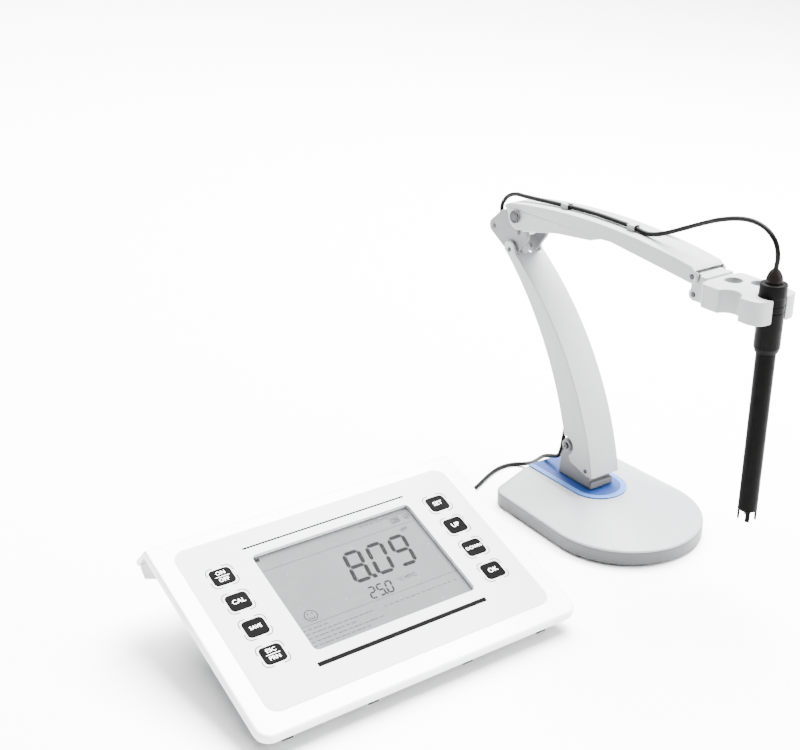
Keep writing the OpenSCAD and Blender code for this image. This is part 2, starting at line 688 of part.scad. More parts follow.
module lead_upper() { tube(n_loop, n_upper); }
module lead_elbow_top() { tube(n_upper, n_elbow); }
module lead_elbow_low() { tube(n_elbow, n_rear); }
module lead_lower() { tube(n_rear, n_lower); }
module lead_foot() { tube(n_lower, n_foot); }
module lead_table() { tube(n_foot, n_end); }

module lead_clips() {
    color("white") in_stand() difference() {
        for (x = [34, -30]) translate([c1[0] + 72.6 + x, lead_y, c1[1] + (x > 0 ? 14 : 12)]) difference() {
            translate([-3, -3, 0]) cube([6, 6, x > 0 ? 5.3 : 6.3]);
            translate([-5, 0, x > 0 ? 3.2 : 4.2]) rotate([0, x > 0 ? 90 : 87, 0])
                translate([0, 0, -2]) cylinder(d = lead_d + 0.7, h = 14);
        }
        side_plate(arm_w / 2 + 1) offset(0.02) upper_arm_side();
    }
}
module lead_plug() {
    color("silver") in_layout() translate([ph_x, plug_y, socket_z]) rotate([-90, 0, 0]) {
        difference() {
            translate([0, 0, -ph_out + 0.5]) cylinder(d = 14, h = plug_l + ph_out - 0.5);
            translate([0, 0, -ph_out]) cylinder(d = ph_d + 0.2, h = ph_out);
        }
        translate([0, 0, plug_l]) cylinder(d1 = 7, d2 = 4, h = 8);
    }
}

top_cover();
case_tray();
case_foot();
display_lens();
display_glass();
display_frame();
main_board();
key_switches();
socket_board();
ph_socket();
temp_socket();
serial_socket();
power_socket();
case_feet();
case_screws();
key(0, 3);  // key_power
key(0, 2);  // key_cal
key(0, 1);  // key_save
key(0, 0);  // key_esc
key(1, 3);  // key_set
key(1, 2);  // key_up
key(1, 1);  // key_down
key(1, 0);  // key_ok
stand_base();
base_weight();
base_feet();
base_trim();
swivel_bolt();
swivel_washer();
pivot_block();
block_axle();
block_pins();
lower_arm();
lower_link();
elbow_bracket();
elbow_axle();
elbow_pins();
upper_arm();
upper_link();
lead_clips();
probe_holder();
holder_pins();
probe_cap();
probe_shaft();
probe_tip();
probe_gland();
lead_probe();
lead_loop();
lead_upper();
lead_elbow_top();
lead_elbow_low();
lead_lower();
lead_foot();
lead_table();
lead_plug();
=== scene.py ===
"""Looks of a bench pH meter with a jointed electrode stand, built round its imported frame."""

from __future__ import annotations

import logging
import math
from dataclasses import dataclass, field
from enum import Enum
from typing import Callable, Iterable, Sequence

import bmesh
import bpy
from mathutils import Matrix, Vector

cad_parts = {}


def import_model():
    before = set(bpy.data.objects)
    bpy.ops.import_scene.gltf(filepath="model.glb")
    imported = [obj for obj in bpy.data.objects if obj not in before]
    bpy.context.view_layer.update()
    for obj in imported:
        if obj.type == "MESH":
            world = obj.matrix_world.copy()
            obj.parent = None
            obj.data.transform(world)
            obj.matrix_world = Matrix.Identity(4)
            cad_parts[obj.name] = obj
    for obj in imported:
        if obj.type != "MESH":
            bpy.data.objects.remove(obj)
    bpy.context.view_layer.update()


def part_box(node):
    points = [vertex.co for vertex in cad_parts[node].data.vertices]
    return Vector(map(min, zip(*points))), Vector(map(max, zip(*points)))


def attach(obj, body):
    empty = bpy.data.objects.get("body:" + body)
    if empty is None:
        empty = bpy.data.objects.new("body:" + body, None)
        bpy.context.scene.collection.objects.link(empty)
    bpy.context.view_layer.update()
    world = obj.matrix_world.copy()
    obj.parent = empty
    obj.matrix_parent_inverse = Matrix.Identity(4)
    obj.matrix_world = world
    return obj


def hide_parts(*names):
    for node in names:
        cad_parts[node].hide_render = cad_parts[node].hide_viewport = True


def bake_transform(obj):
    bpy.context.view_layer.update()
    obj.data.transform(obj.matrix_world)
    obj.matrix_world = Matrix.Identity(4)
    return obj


LOG = logging.getLogger("ph_meter")
MM = 0.001
SHARP = 38.0
Point2 = tuple[float, float]
Point3 = tuple[float, float, float]
Mesh = bmesh.types.BMesh
Edge = bmesh.types.BMEdge


# ---------------------------------------------------------------- places


@dataclass(frozen=True)
class Layout:
    """Sizes that the meter and the stand share with the frame, in millimetres."""

    case_w: float = 222.0
    case_d: float = 147.0
    tilt: float = 19.0
    front_h: float = 15.0
    swivel_top: float = 22.0
    lower_len: float = 167.4
    lower_lean: float = 33.5
    upper_run: Point2 = (167.8, 2.7)
    arm_w: float = 26.0

    def case(self) -> Matrix:
        """The case's sloping frame, whose height 0 is the face, as a matrix from millimetres.

        Returns:
            The matrix that puts a point (across, up the slope, off the face) in the row frame.
        """
        low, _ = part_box("top_cover")
        spot = Matrix.Translation((low.x, low.y, self.front_h * MM))
        return spot @ Matrix.Rotation(math.radians(self.tilt), 4, "X") @ Matrix.Scale(MM, 4)

    def bench(self) -> Matrix:
        """The meter's level frame, from the case's front left corner, as a matrix from millimetres."""
        low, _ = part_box("top_cover")
        return Matrix.Translation((low.x, low.y, 0.0)) @ Matrix.Scale(MM, 4)

    def stand(self) -> Matrix:
        """The stand's frame, from the swivel's axis, as a matrix from millimetres.

        Returns:
            The matrix that puts a point (forward, to the right, up) in the row frame.
        """
        low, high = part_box("swivel_washer")
        spot = Matrix.Translation(((low.x + high.x) / 2, (low.y + high.y) / 2, 0.0))
        return spot @ Matrix.Rotation(-math.pi / 2, 4, "Z") @ Matrix.Scale(MM, 4)

    @property
    def block_axle(self) -> Vector:
        """Pivot of the lower link on the block, as (forward, up)."""
        return Vector((-8.0, self.swivel_top + 25.5))

    @property
    def elbow_pin(self) -> Vector:
        """Pivot of the lower arm in the elbow, as (forward, up)."""
        lean = math.radians(self.lower_lean)
        foot = Vector((13.0, self.swivel_top + 13.5))
        return foot + self.lower_len * Vector((-math.sin(lean), math.cos(lean)))

    @property
    def elbow_axle(self) -> Vector:
        """Pivot of the upper arm on the elbow, as (forward, up)."""
        return self.elbow_pin + Vector((7.0, 26.0))

    @property
    def holder_pin(self) -> Vector:
        """Upper pivot of the holder, as (forward, up)."""
        return self.elbow_axle + Vector(self.upper_run)

    @property
    def probe_x(self) -> float:
        """Distance of the electrode's axis in front of the swivel."""
        return self.holder_pin.x + 51.8

    @property
    def holder_top(self) -> float:
        """Height of the holder's upper face, on which the electrode's collar rests."""
        return self.holder_pin.y + 0.5


# ---------------------------------------------------------------- finishes


class NodeSheet:
    """A material's node tree with short ways to add and join nodes."""

    def __init__(self, name: str) -> None:
        """Makes an empty material called name with its shader and output."""
        self.material = bpy.data.materials.new(name)
        self.material.use_nodes = True
        self.tree = self.material.node_tree
        self.shader = self.tree.nodes["Principled BSDF"]
        self.place = self.add("ShaderNodeTexCoord").outputs["Object"]

    def add(self, kind: str, **values: object) -> bpy.types.Node:
        """Adds a node of that kind and sets its attributes or, where it has none so called, its inputs."""
        node = self.tree.nodes.new(kind)
        for key, value in values.items():
            if hasattr(node, key):
                setattr(node, key, value)
            else:
                node.inputs[key.replace("_", " ")].default_value = value
        return node

    def join(self, source: bpy.types.NodeSocket, target: bpy.types.NodeSocket) -> None:
        """Links one socket to another."""
        self.tree.links.new(source, target)

    def set(self, **values: object) -> None:
        """Sets values on the shader's own sockets."""
        for key, value in values.items():
            self.shader.inputs[key.replace("_", " ")].default_value = value

    def noise(self, size_mm: float, detail: float = 3.0, stretch: Point3 = (1, 1, 1)) -> bpy.types.NodeSocket:
        """A noise whose features are about size_mm across.

        Args:
            size_mm: The size of one feature.
            detail: How many finer layers lie on it.
            stretch: How much the pattern is squeezed along each axis.

        Returns:
            The noise's factor, from 0 to 1.
        """
        mapping = self.add("ShaderNodeMapping")
        mapping.inputs["Scale"].default_value = stretch
        self.join(self.place, mapping.inputs["Vector"])
        noise = self.add("ShaderNodeTexNoise", Scale=1.0 / (size_mm * MM), Detail=detail, Roughness=0.55)
        self.join(mapping.outputs["Vector"], noise.inputs["Vector"])
        return noise.outputs["Fac"]

    def spread(self, source: bpy.types.NodeSocket, low: float, high: float) -> bpy.types.NodeSocket:
        """The source stretched from its middle range to low..high."""
        node = self.add("ShaderNodeMapRange")
        for key, value in {"From Min": 0.3, "From Max": 0.7, "To Min": low, "To Max": high}.items():
            node.inputs[key].default_value = value
        self.join(source, node.inputs["Value"])
        return node.outputs["Result"]

    def tint(self, source: bpy.types.NodeSocket, first: Point3, second: Point3) -> None:
        """Colours the shader from first to second as source goes from 0.3 to 0.7."""
        ramp = self.add("ShaderNodeValToRGB")
        ramp.color_ramp.elements[0].position = 0.3
        ramp.color_ramp.elements[1].position = 0.7
        ramp.color_ramp.elements[0].color = (*first, 1.0)
        ramp.color_ramp.elements[1].color = (*second, 1.0)
        self.join(source, ramp.inputs["Fac"])
        self.join(ramp.outputs["Color"], self.shader.inputs["Base Color"])

    def relief(self, source: bpy.types.NodeSocket, depth_mm: float, strength: float = 1.0) -> None:
        """Raises the surface by source, up to depth_mm."""
        bump = self.add("ShaderNodeBump", Strength=strength, Distance=depth_mm * MM)
        self.join(source, bump.inputs["Height"])
        self.join(bump.outputs["Normal"], self.shader.inputs["Normal"])


def shade(colour: Point3, by: float) -> Point3:
    """The colour made darker (by below 1) or lighter (by above 1)."""
    return tuple(min(1.0, c * by) for c in colour)


@dataclass(frozen=True)
class Moulded:
    """Injection-moulded plastic with a spark-eroded grain and faint flow marks."""

    label: str
    colour: Point3
    roughness: float = 0.4
    grain_mm: float = 0.45
    grain_depth: float = 0.012
    mottle: float = 0.03
    coat: float = 0.0
    gloss: float = 0.5

    def material(self) -> bpy.types.Material:
        """Makes the material.

        Returns:
            The material, made once and shared.
        """
        known = bpy.data.materials.get(self.label)
        if known:
            return known
        sheet = NodeSheet(self.label)
        sheet.set(Coat_Weight=self.coat, Coat_Roughness=0.12, IOR=1.48, Specular_IOR_Level=self.gloss)
        sheet.tint(sheet.noise(28.0, 2.0), shade(self.colour, 1 - self.mottle), self.colour)
        rough = sheet.spread(sheet.noise(6.0, 5.0), self.roughness - 0.05, self.roughness + 0.05)
        sheet.join(rough, sheet.shader.inputs["Roughness"])
        sheet.relief(sheet.noise(self.grain_mm, 2.0), self.grain_depth, 0.6)
        return sheet.material


@dataclass(frozen=True)
class Turned:
    """Turned or drawn metal with fine lines along one axis."""

    label: str
    colour: Point3
    roughness: float = 0.28
    stretch: Point3 = (1.0, 12.0, 12.0)

    def material(self) -> bpy.types.Material:
        """Makes the material, once."""
        known = bpy.data.materials.get(self.label)
        if known:
            return known
        sheet = NodeSheet(self.label)
        sheet.set(Metallic=1.0)
        lines = sheet.noise(2.0, 6.0, self.stretch)
        sheet.tint(lines, shade(self.colour, 0.85), self.colour)
        rough = sheet.spread(lines, self.roughness - 0.08, self.roughness + 0.1)
        sheet.join(rough, sheet.shader.inputs["Roughness"])
        sheet.relief(lines, 0.008, 0.5)
        return sheet.material


@dataclass(frozen=True)
class Rubbery:
    """Soft black rubber or cable sheath with a dusty bloom."""

    label: str
    colour: Point3
    roughness: float = 0.5
    grain_depth: float = 0.02

    def material(self) -> bpy.types.Material:
        """Makes the material, once."""
        known = bpy.data.materials.get(self.label)
        if known:
            return known
        sheet = NodeSheet(self.label)
        sheet.set(IOR=1.45, Specular_IOR_Level=0.1)
        sheet.tint(sheet.noise(5.0, 4.0), self.colour, shade(self.colour, 1.5))
        rough = sheet.spread(sheet.noise(1.5, 4.0), self.roughness - 0.08, self.roughness + 0.08)
        sheet.join(rough, sheet.shader.inputs["Roughness"])
        sheet.relief(sheet.noise(0.8, 3.0), self.grain_depth, 0.5)
        return sheet.material


@dataclass(frozen=True)
class Board:
    """A circuit board's solder mask with copper showing faintly through."""

    label: str
    colour: Point3
    tracks: float = 260.0

    def material(self) -> bpy.types.Material:
        """Makes the material, once."""
        known = bpy.data.materials.get(self.label)
        if known:
            return known
        sheet = NodeSheet(self.label)
        cells = sheet.add(
            "ShaderNodeTexVoronoi", Scale=self.tracks, distance="MANHATTAN", feature="DISTANCE_TO_EDGE"
        )
        sheet.join(sheet.place, cells.inputs["Vector"])
        sheet.set(Roughness=0.35)
        wide = sheet.add("ShaderNodeMath", operation="MULTIPLY")
        wide.inputs[1].default_value = 4.0
        sheet.join(cells.outputs["Distance"], wide.inputs[0])
        sheet.tint(wide.outputs["Value"], shade(self.colour, 1.5), self.colour)
        return sheet.material


@dataclass(frozen=True)
class ClearSheet:
    """A clear plastic or glass sheet that is seen through and only glints."""

    label: str
    colour: Point3
    alpha: float = 0.12
    roughness: float = 0.06

    def material(self) -> bpy.types.Material:
        """Makes the material, once."""
        known = bpy.data.materials.get(self.label)
        if known:
            return known
        sheet = NodeSheet(self.label)
        sheet.set(Alpha=self.alpha, IOR=1.45, Specular_IOR_Level=0.2)
        sheet.tint(sheet.noise(30.0, 1.0), shade(self.colour, 0.97), self.colour)
        rough = sheet.spread(sheet.noise(9.0, 3.0), self.roughness - 0.03, self.roughness + 0.04)
        sheet.join(rough, sheet.shader.inputs["Roughness"])
        return sheet.material


Finish = Moulded | Turned | Rubbery | Board | ClearSheet


class Surface(Enum):
    """Every finish on the object, with the record's material slot that it belongs to."""

    CASE_WHITE = (Moulded("case white", (0.8, 0.81, 0.83), 0.36, coat=0.12), "case_white")
    OVERLAY = (
        Moulded("face overlay", (0.42, 0.425, 0.435), 0.55, 0.7, 0.008, 0.015, 0.0, 0.3),
        "case_white",
    )
    # Painted shade: the tray's dark grey stands in for the shade under the cover's rim.
    CASE_GREY = (Moulded("case underside grey painted shade", (0.2, 0.205, 0.215), 0.5, 0.6, 0.03), "case_grey")
    KEY_BLACK = (
        Moulded("key black", (0.0002, 0.0002, 0.0002), 0.6, 0.3, 0.01, 0.1, 0.0, 0.02),
        "key_black",
    )
    KEY_MARK = (Moulded("key marking", (0.9, 0.9, 0.9), 0.5, 0.2, 0.004), "key_black")
    INK = (
        Moulded("printed ink", (0.0003, 0.0002, 0.0002), 0.6, 0.2, 0.004, 0.1, 0.0, 0.02),
        "key_black",
    )
    DISPLAY = (
        Moulded("display ground", (0.062, 0.067, 0.068), 0.55, 0.25, 0.004, 0.06, 0.0, 0.06),
        "display_grey",
    )
    DISPLAY_MARK = (
        Moulded("display marks", (0.0004, 0.0004, 0.0004), 0.6, 0.2, 0.003, 0.05, 0.0, 0.02),
        "display_grey",
    )
    DISPLAY_FAINT = (
        Moulded("display faint marks", (0.014, 0.015, 0.015), 0.6, 0.2, 0.003, 0.05, 0.0, 0.02),
        "display_grey",
    )
    LENS = (ClearSheet("display lens", (0.9, 0.93, 0.93), 0.004), "lens_clear")
    DARK = (
        Moulded("dark plastic", (0.008, 0.008, 0.009), 0.5, 0.5, 0.02, 0.1, 0.0, 0.25),
        "dark_plastic",
    )
    BOARD = (Board("solder mask", (0.02, 0.16, 0.06)), "board_green")
    PLATED = (Turned("nickel plate", (0.72, 0.71, 0.68), 0.2, (1, 1, 8)), "plated")
    # Painted shade: the pins' steel is made near-black so their ends show as dark as the shaded holes they
    # sit in.
    STEEL = (Turned("pin steel painted hole shade", (0.03, 0.03, 0.032), 0.4), "steel")
    SCREW = (Turned("screw steel", (0.07, 0.07, 0.075), 0.4, (6, 6, 1)), "steel")
    RUBBER = (Rubbery("foot rubber", (0.025, 0.025, 0.026), 0.65, 0.05), "foot_rubber")
    ARM = (Moulded("arm white", (0.24, 0.244, 0.25), 0.45, 0.5, 0.01, 0.03, 0.02, 0.25), "arm_white")
    BLOCK = (
        Moulded("block light grey", (0.1, 0.102, 0.107), 0.45, 0.5, 0.012, 0.03, 0.02, 0.25),
        "base_grey",
    )
    BASE_TOP = (
        Moulded("base shell", (0.2, 0.205, 0.215), 0.42, 0.55, 0.012, 0.04, 0.04, 0.3),
        "base_grey",
    )
    # Painted shade: the side wall is the shell's grey made far darker, standing in for the shade on the
    # base's sides.
    BASE_WALL = (Moulded("base side wall painted shade", (0.03, 0.0315, 0.034), 0.5, 0.55, 0.02, 0.04), "base_grey")
    BLUE_RIM = (
        Moulded("light blue rim", (0.045, 0.105, 0.28), 0.42, 0.5, 0.006, 0.03, 0.03, 0.2),
        "trim_blue",
    )
    # Painted shadow: a darker blue sheet laid on the plate round the block, where the block's shadow falls.
    BLUE_DEEP = (
        Moulded("blue painted shadow", (0.006, 0.026, 0.115), 0.45, 0.5, 0.008, 0.04, 0.02, 0.2),
        "trim_blue",
    )
    IRON = (Moulded("cast iron", (0.07, 0.07, 0.075), 0.7, 1.2, 0.15, 0.3), "iron")
    LINK = (Moulded("link grey", (0.4, 0.41, 0.425), 0.45, 0.5, 0.02), "link_grey")
    PROBE = (
        Moulded("electrode black", (0.0003, 0.0003, 0.0003), 0.5, 0.8, 0.004, 0.1, 0.0, 0.03),
        "probe_black",
    )
    CAP = (
        Moulded("cap black", (0.0006, 0.0005, 0.0005), 0.5, 0.5, 0.02, 0.1, 0.0, 0.04),
        "probe_black",
    )
    BULB = (ClearSheet("glass bulb", (0.8, 0.9, 0.93), 0.35, 0.05), "glass_bulb")
    GLAND = (Rubbery("gland rubber", (0.003, 0.0015, 0.0012), 0.5), "lead_black")
    LEAD = (Rubbery("lead sheath", (0.0003, 0.0003, 0.0003), 0.45), "lead_black")

    @property
    def finish(self) -> Finish:
        """The finish itself."""
        return self.value[0]

    @property
    def slot(self) -> str:
        """The record's material slot."""
        return self.value[1]


# ---------------------------------------------------------------- making pieces


def smooth_by_angle(bm: Mesh, limit: float = SHARP) -> None:
    """Smooths the faces and keeps the edges sharper than limit degrees."""
    bm.normal_update()
    for face in bm.faces:
        face.smooth = True
    for edge in bm.edges:
        edge.smooth = len(edge.link_faces) == 2 and edge.calc_face_angle(0.0) < math.radians(limit)


def finish_piece(
    name: str,
    bm: Mesh,
    surface: Surface,
    body: str | None,
    replaces: Sequence[str] = (),
    limit: float = SHARP,
) -> bpy.types.Object:
    """Turns a finished bmesh in the row frame into a piece with its finish and body.

    Args:
        name: The piece's name.
        bm: The mesh, in metres in the row frame. It is freed.
        surface: The finish.
        body: The body that it rides on, or None where it is left without one.
        replaces: The frame's nodes that it stands for.
        limit: The angle in degrees over which an edge stays sharp.

    Returns:
        The new object.
    """
    smooth_by_angle(bm, limit)
    mesh = bpy.data.meshes.new(name)
    bm.to_mesh(mesh)
    bm.free()
    piece = bpy.data.objects.new(name, mesh)
    bpy.context.scene.collection.objects.link(piece)
    mesh.materials.append(surface.finish.material())
    weighted = piece.modifiers.new("Weighted normals", "WEIGHTED_NORMAL")
    weighted.keep_sharp = True
    if replaces:
        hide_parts(*replaces)
    if body:
        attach(piece, body)
    LOG.info("%s: %d faces", name, len(mesh.polygons))
    return piece


def cad_copy(node: str, flat: float = 0.5) -> Mesh:
    """A node's mesh with its loose points merged and its flat faces whole again.

    Args:
        node: The node's name.
        flat: The angle in degrees under which neighbouring faces become one.

    Returns:
        The mesh, in metres in the row frame.
    """
    bm = bmesh.new()
    bm.from_mesh(bpy.data.objects[node].data)
    bmesh.ops.remove_doubles(bm, verts=bm.verts, dist=2e-6)
    bmesh.ops.dissolve_limit(bm, angle_limit=math.radians(flat), verts=bm.verts, edges=bm.edges)
    return bm


def bevel_edges(bm: Mesh, edges: Sequence[Edge], width: float, segments: int) -> None:
    """Bevels those edges by width, in the mesh's own unit."""
    bmesh.ops.bevel(
        bm, geom=edges, offset=width, offset_type="OFFSET", segments=segments, profile=0.5,
        affect="EDGES", clamp_overlap=False, material=-1, loop_slide=True,
    )


def round_edges(
    bm: Mesh,
    width_mm: float,
    segments: int = 3,
    chosen: Callable[[Edge], bool] = lambda edge: True,
    angle: float = 40.0,
) -> None:
    """Rounds the edges sharper than angle degrees.

    Args:
        bm: The mesh, in metres.
        width_mm: How far the rounding reaches from the edge.
        segments: How many faces go round it.
        chosen: A further test that an edge has to pass.
        angle: The least angle between the edge's faces.
    """
    bm.normal_update()
    edges = [
        e for e in bm.edges
        if len(e.link_faces) == 2 and e.calc_face_angle(0.0) > math.radians(angle) and chosen(e)
    ]
    bevel_edges(bm, edges, width_mm * MM, segments)


def softened(
    name: str, node: str, surface: Surface, body: str, width_mm: float = 0.4, segments: int = 2
) -> bpy.types.Object:
    """A node with its sharp edges rounded, as its own piece.

    Args:
        name: The new piece's name.
        node: The node that it copies and stands for.
        surface: The finish.
        body: The body that it rides on.
        width_mm: The rounding's width, or 0 for none.
        segments: The faces that go round an edge.

    Returns:
        The new object.
    """
    bm = cad_copy(node)
    if width_mm > 0:
        round_edges(bm, width_mm, segments)
    return finish_piece(name, bm, surface, body, [node])


def dress(node: str, surface: Surface) -> None:
    """Gives a node of the frame its finish."""
    piece = bpy.data.objects[node]
    piece.data.materials.clear()
    piece.data.materials.append(surface.finish.material())


def rounded_outline(centre: Point2, size: Point2, radius: float, steps: int = 7) -> list[Point2]:
    """The outline of a rounded rectangle, anticlockwise.

    Args:
        centre: Its middle.
        size: Its width and height.
        radius: The radius of its corners.
        steps: The edges round each corner.

    Returns:
        The outline's points.
    """
    points: list[Point2] = []
    for quarter in range(4):
        turn = math.pi / 2 * quarter
        sign_x = 1 if quarter in (0, 3) else -1
        sign_y = 1 if quarter in (0, 1) else -1
        middle = (centre[0] + sign_x * (size[0] / 2 - radius), centre[1] + sign_y * (size[1] / 2 - radius))
        for step in range(steps + 1):
            a = turn + math.pi / 2 * step / steps
            points.append((middle[0] + radius * math.cos(a), middle[1] + radius * math.sin(a)))
    return points


def raise_faces(bm: Mesh, faces: Sequence[bmesh.types.BMFace], height: float) -> None:
    """Makes flat faces into a closed slab of that height."""
    raised = bmesh.ops.extrude_face_region(bm, geom=faces, use_keep_orig=True)
    top = [g for g in raised["geom"] if isinstance(g, bmesh.types.BMVert)]
    bmesh.ops.translate(bm, verts=top, vec=(0, 0, height))


def add_slab(
    bm: Mesh, outline: Sequence[Point2], low: float, high: float, holes: Sequence[Sequence[Point2]] = ()
) -> None:
    """Adds a flat slab with that outline and those holes, from low to high.

    Args:
        bm: The mesh to add it to, in millimetres.
        outline: The outer outline.
        low: The height of its underside.
        high: The height of its top.
        holes: The outlines of what is cut out.
    """
    edges = []
    for loop in (outline, *holes):
        verts = [bm.verts.new((x, y, low)) for x, y in loop]
        edges += [bm.edges.new((a, b)) for a, b in zip(verts, verts[1:] + verts[:1])]
    filled = bmesh.ops.triangle_fill(bm, use_beauty=True, use_dissolve=not holes, edges=edges)
    raise_faces(bm, [g for g in filled["geom"] if isinstance(g, bmesh.types.BMFace)], high - low)


def add_bar(bm: Mesh, start: Point2, end: Point2, width: float, low: float, high: float) -> None:
    """Adds a straight flat bar from start to end."""
    run = Vector(end) - Vector(start)
    side = Vector((-run.y, run.x)).normalized() * width / 2
    a, b = Vector(start), Vector(end)
    add_slab(bm, [tuple(p) for p in (a - side, b - side, b + side, a + side)], low, high)


def add_arc(
    bm: Mesh,
    centre: Point2,
    radius: float,
    width: float,
    turn: Point2,
    low: float,
    high: float,
    steps: int = 12,
) -> None:
    """Adds a flat curved strip, spun from a short radial edge.

    Args:
        bm: The mesh to add it to.
        centre: The arc's centre.
        radius: The radius of its middle line.
        width: Its width.
        turn: Its first and last angle in degrees.
        low: The height of its underside.
        high: The height of its top.
        steps: The faces along it.
    """
    first, last = (math.radians(a) for a in turn)
    way = Vector((math.cos(first), math.sin(first), 0))
    hub = Vector((*centre, low))
    pair = [bm.verts.new(hub + way * (radius + s * width / 2)) for s in (-1, 1)]
    edge = bm.edges.new(pair)
    bmesh.ops.spin(
        bm, geom=[*pair, edge], cent=hub, axis=(0, 0, 1), angle=last - first, steps=steps,
        use_merge=abs(last - first) > 6.2, use_duplicate=False,
    )
    level = [v for v in bm.verts if abs(v.co.z - low) < 1e-6 and abs((v.co - hub).length - radius) < width]
    faces = {f for v in level for f in v.link_faces}
    raise_faces(bm, [f for f in faces if all(abs(v.co.z - low) < 1e-6 for v in f.verts)], high - low)


def lathe(profile: Sequence[Point2], steps: int = 48) -> Mesh:
    """A shape turned about the upright axis.

    Args:
        profile: The outline as (radius, height) from the axis back to the axis.
        steps: The faces round it.

    Returns:
        The closed mesh.
    """
    bm = bmesh.new()
    verts = [bm.verts.new((r, 0, z)) for r, z in profile]
    edges = [bm.edges.new(pair) for pair in zip(verts, verts[1:])]
    bmesh.ops.spin(
        bm, geom=verts + edges, cent=(0, 0, 0), axis=(0, 0, 1), angle=2 * math.pi, steps=steps,
        use_merge=True, use_duplicate=False,
    )
    bmesh.ops.remove_doubles(bm, verts=bm.verts, dist=1e-4)
    bmesh.ops.recalc_face_normals(bm, faces=bm.faces)
    return bm


def place(bm: Mesh, matrix: Matrix) -> Mesh:
    """Moves a mesh in millimetres into the row frame, with its faces outwards."""
    bmesh.ops.recalc_face_normals(bm, faces=bm.faces)
    bm.transform(matrix)
    return bm


def lettering(bm: Mesh, words: str, centre: Point2, size: float, low: float, high: float) -> None:
    """Adds raised words, centred.

    Args:
        bm: The mesh to add them to, in millimetres.
        words: What they say.
        centre: Their middle.
        size: The height of a line.
        low: The height that they stand on.
        high: The height of their tops.
    """
    curve = bpy.data.curves.new("words", "FONT")
    curve.body = words
    curve.size = size
    curve.align_x = "CENTER"
    curve.align_y = "CENTER"
    curve.resolution_u = 3
    curve.extrude = (high - low) / 2
    holder = bpy.data.objects.new("words", curve)
    bpy.context.scene.collection.objects.link(holder)
    bpy.context.view_layer.update()
    mesh = bpy.data.meshes.new_from_object(holder.evaluated_get(bpy.context.evaluated_depsgraph_get()))
    mesh.transform(Matrix.Translation((*centre, (low + high) / 2)))
    bm.from_mesh(mesh)
    bpy.data.objects.remove(holder)
    bpy.data.curves.remove(curve)
    bpy.data.meshes.remove(mesh)


class Digit(Enum):
    """The lit bars of a seven-bar digit: a top, b and c right, d foot, e and f left, g middle."""

    D0 = "abcdef"
    D1 = "bc"
    D2 = "abged"
    D5 = "afgcd"
    D8 = "abcdefg"
    D9 = "abcdfg"


@dataclass(frozen=True)
class DigitStyle:
    """Sizes of a row of seven-bar digits, in millimetres."""

    width: float
    height: float
    pitch: float
    bar: float
    slant: float = 0.15

    def add(
        self, bm: Mesh, digits: Sequence[Digit], corner: Point2, low: float, high: float, dot_after: int = -1
    ) -> None:
        """Adds a row of digits.

        Args:
            bm: The mesh to add them to.
            digits: The digits from left to right.
            corner: The lower left corner of the first.
            low: The height of their undersides.
            high: The height of their tops.
            dot_after: The place of the digit that a point follows, or -1.
        """
        w, h, gap = self.width, self.height, self.bar * 0.12
        ends = {
            "a": ((gap, h), (w - gap, h)),
            "b": ((w, h - gap), (w, h / 2 + gap)),
            "c": ((w, h / 2 - gap), (w, gap)),
            "d": ((gap, 0), (w - gap, 0)),
            "e": ((0, h / 2 - gap), (0, gap)),
            "f": ((0, h - gap), (0, h / 2 + gap)),
            "g": ((gap, h / 2), (w - gap, h / 2)),
        }
        for place_no, digit in enumerate(digits):
            x0 = corner[0] + place_no * self.pitch
            for bar in digit.value:
                (ax, ay), (bx, by) = ends[bar]
                start = Vector((x0 + ax + self.slant * ay, corner[1] + ay))
                end = Vector((x0 + bx + self.slant * by, corner[1] + by))
                way = (end - start).normalized() * self.bar / 2
                side = Vector((-way.y, way.x))
                near, far = start + way, end - way
                lozenge = (start, near - side, far - side, end, far + side, near + side)
                add_slab(bm, [tuple(p) for p in lozenge], low, high)
            if place_no == dot_after:
                dot = (x0 + w + (self.pitch - w) * 0.42, corner[1])
                side = self.bar * 1.2
                add_slab(bm, rounded_outline(dot, (side, side), self.bar * 0.3, 2), low, high)


# ---------------------------------------------------------------- the meter


class Sign(Enum):
    """The keys, with what each says, its column (0 left, 1 right) and its row from the front."""

    POWER = ("key_power", "power_key", ("ON", "OFF"), 0, 3)
    CAL = ("key_cal", "cal_key", ("CAL",), 0, 2)
    SAVE = ("key_save", "save_key", ("SAVE",), 0, 1)
    ESC = ("key_esc", "esc_key", ("ESC", "PRN"), 0, 0)
    SET = ("key_set", "set_key", ("SET",), 1, 3)
    UP = ("key_up", "up_key", ("UP",), 1, 2)
    DOWN = ("key_down", "down_key", ("DOWN",), 1, 1)
    OK = ("key_ok", "ok_key", ("OK",), 1, 0)


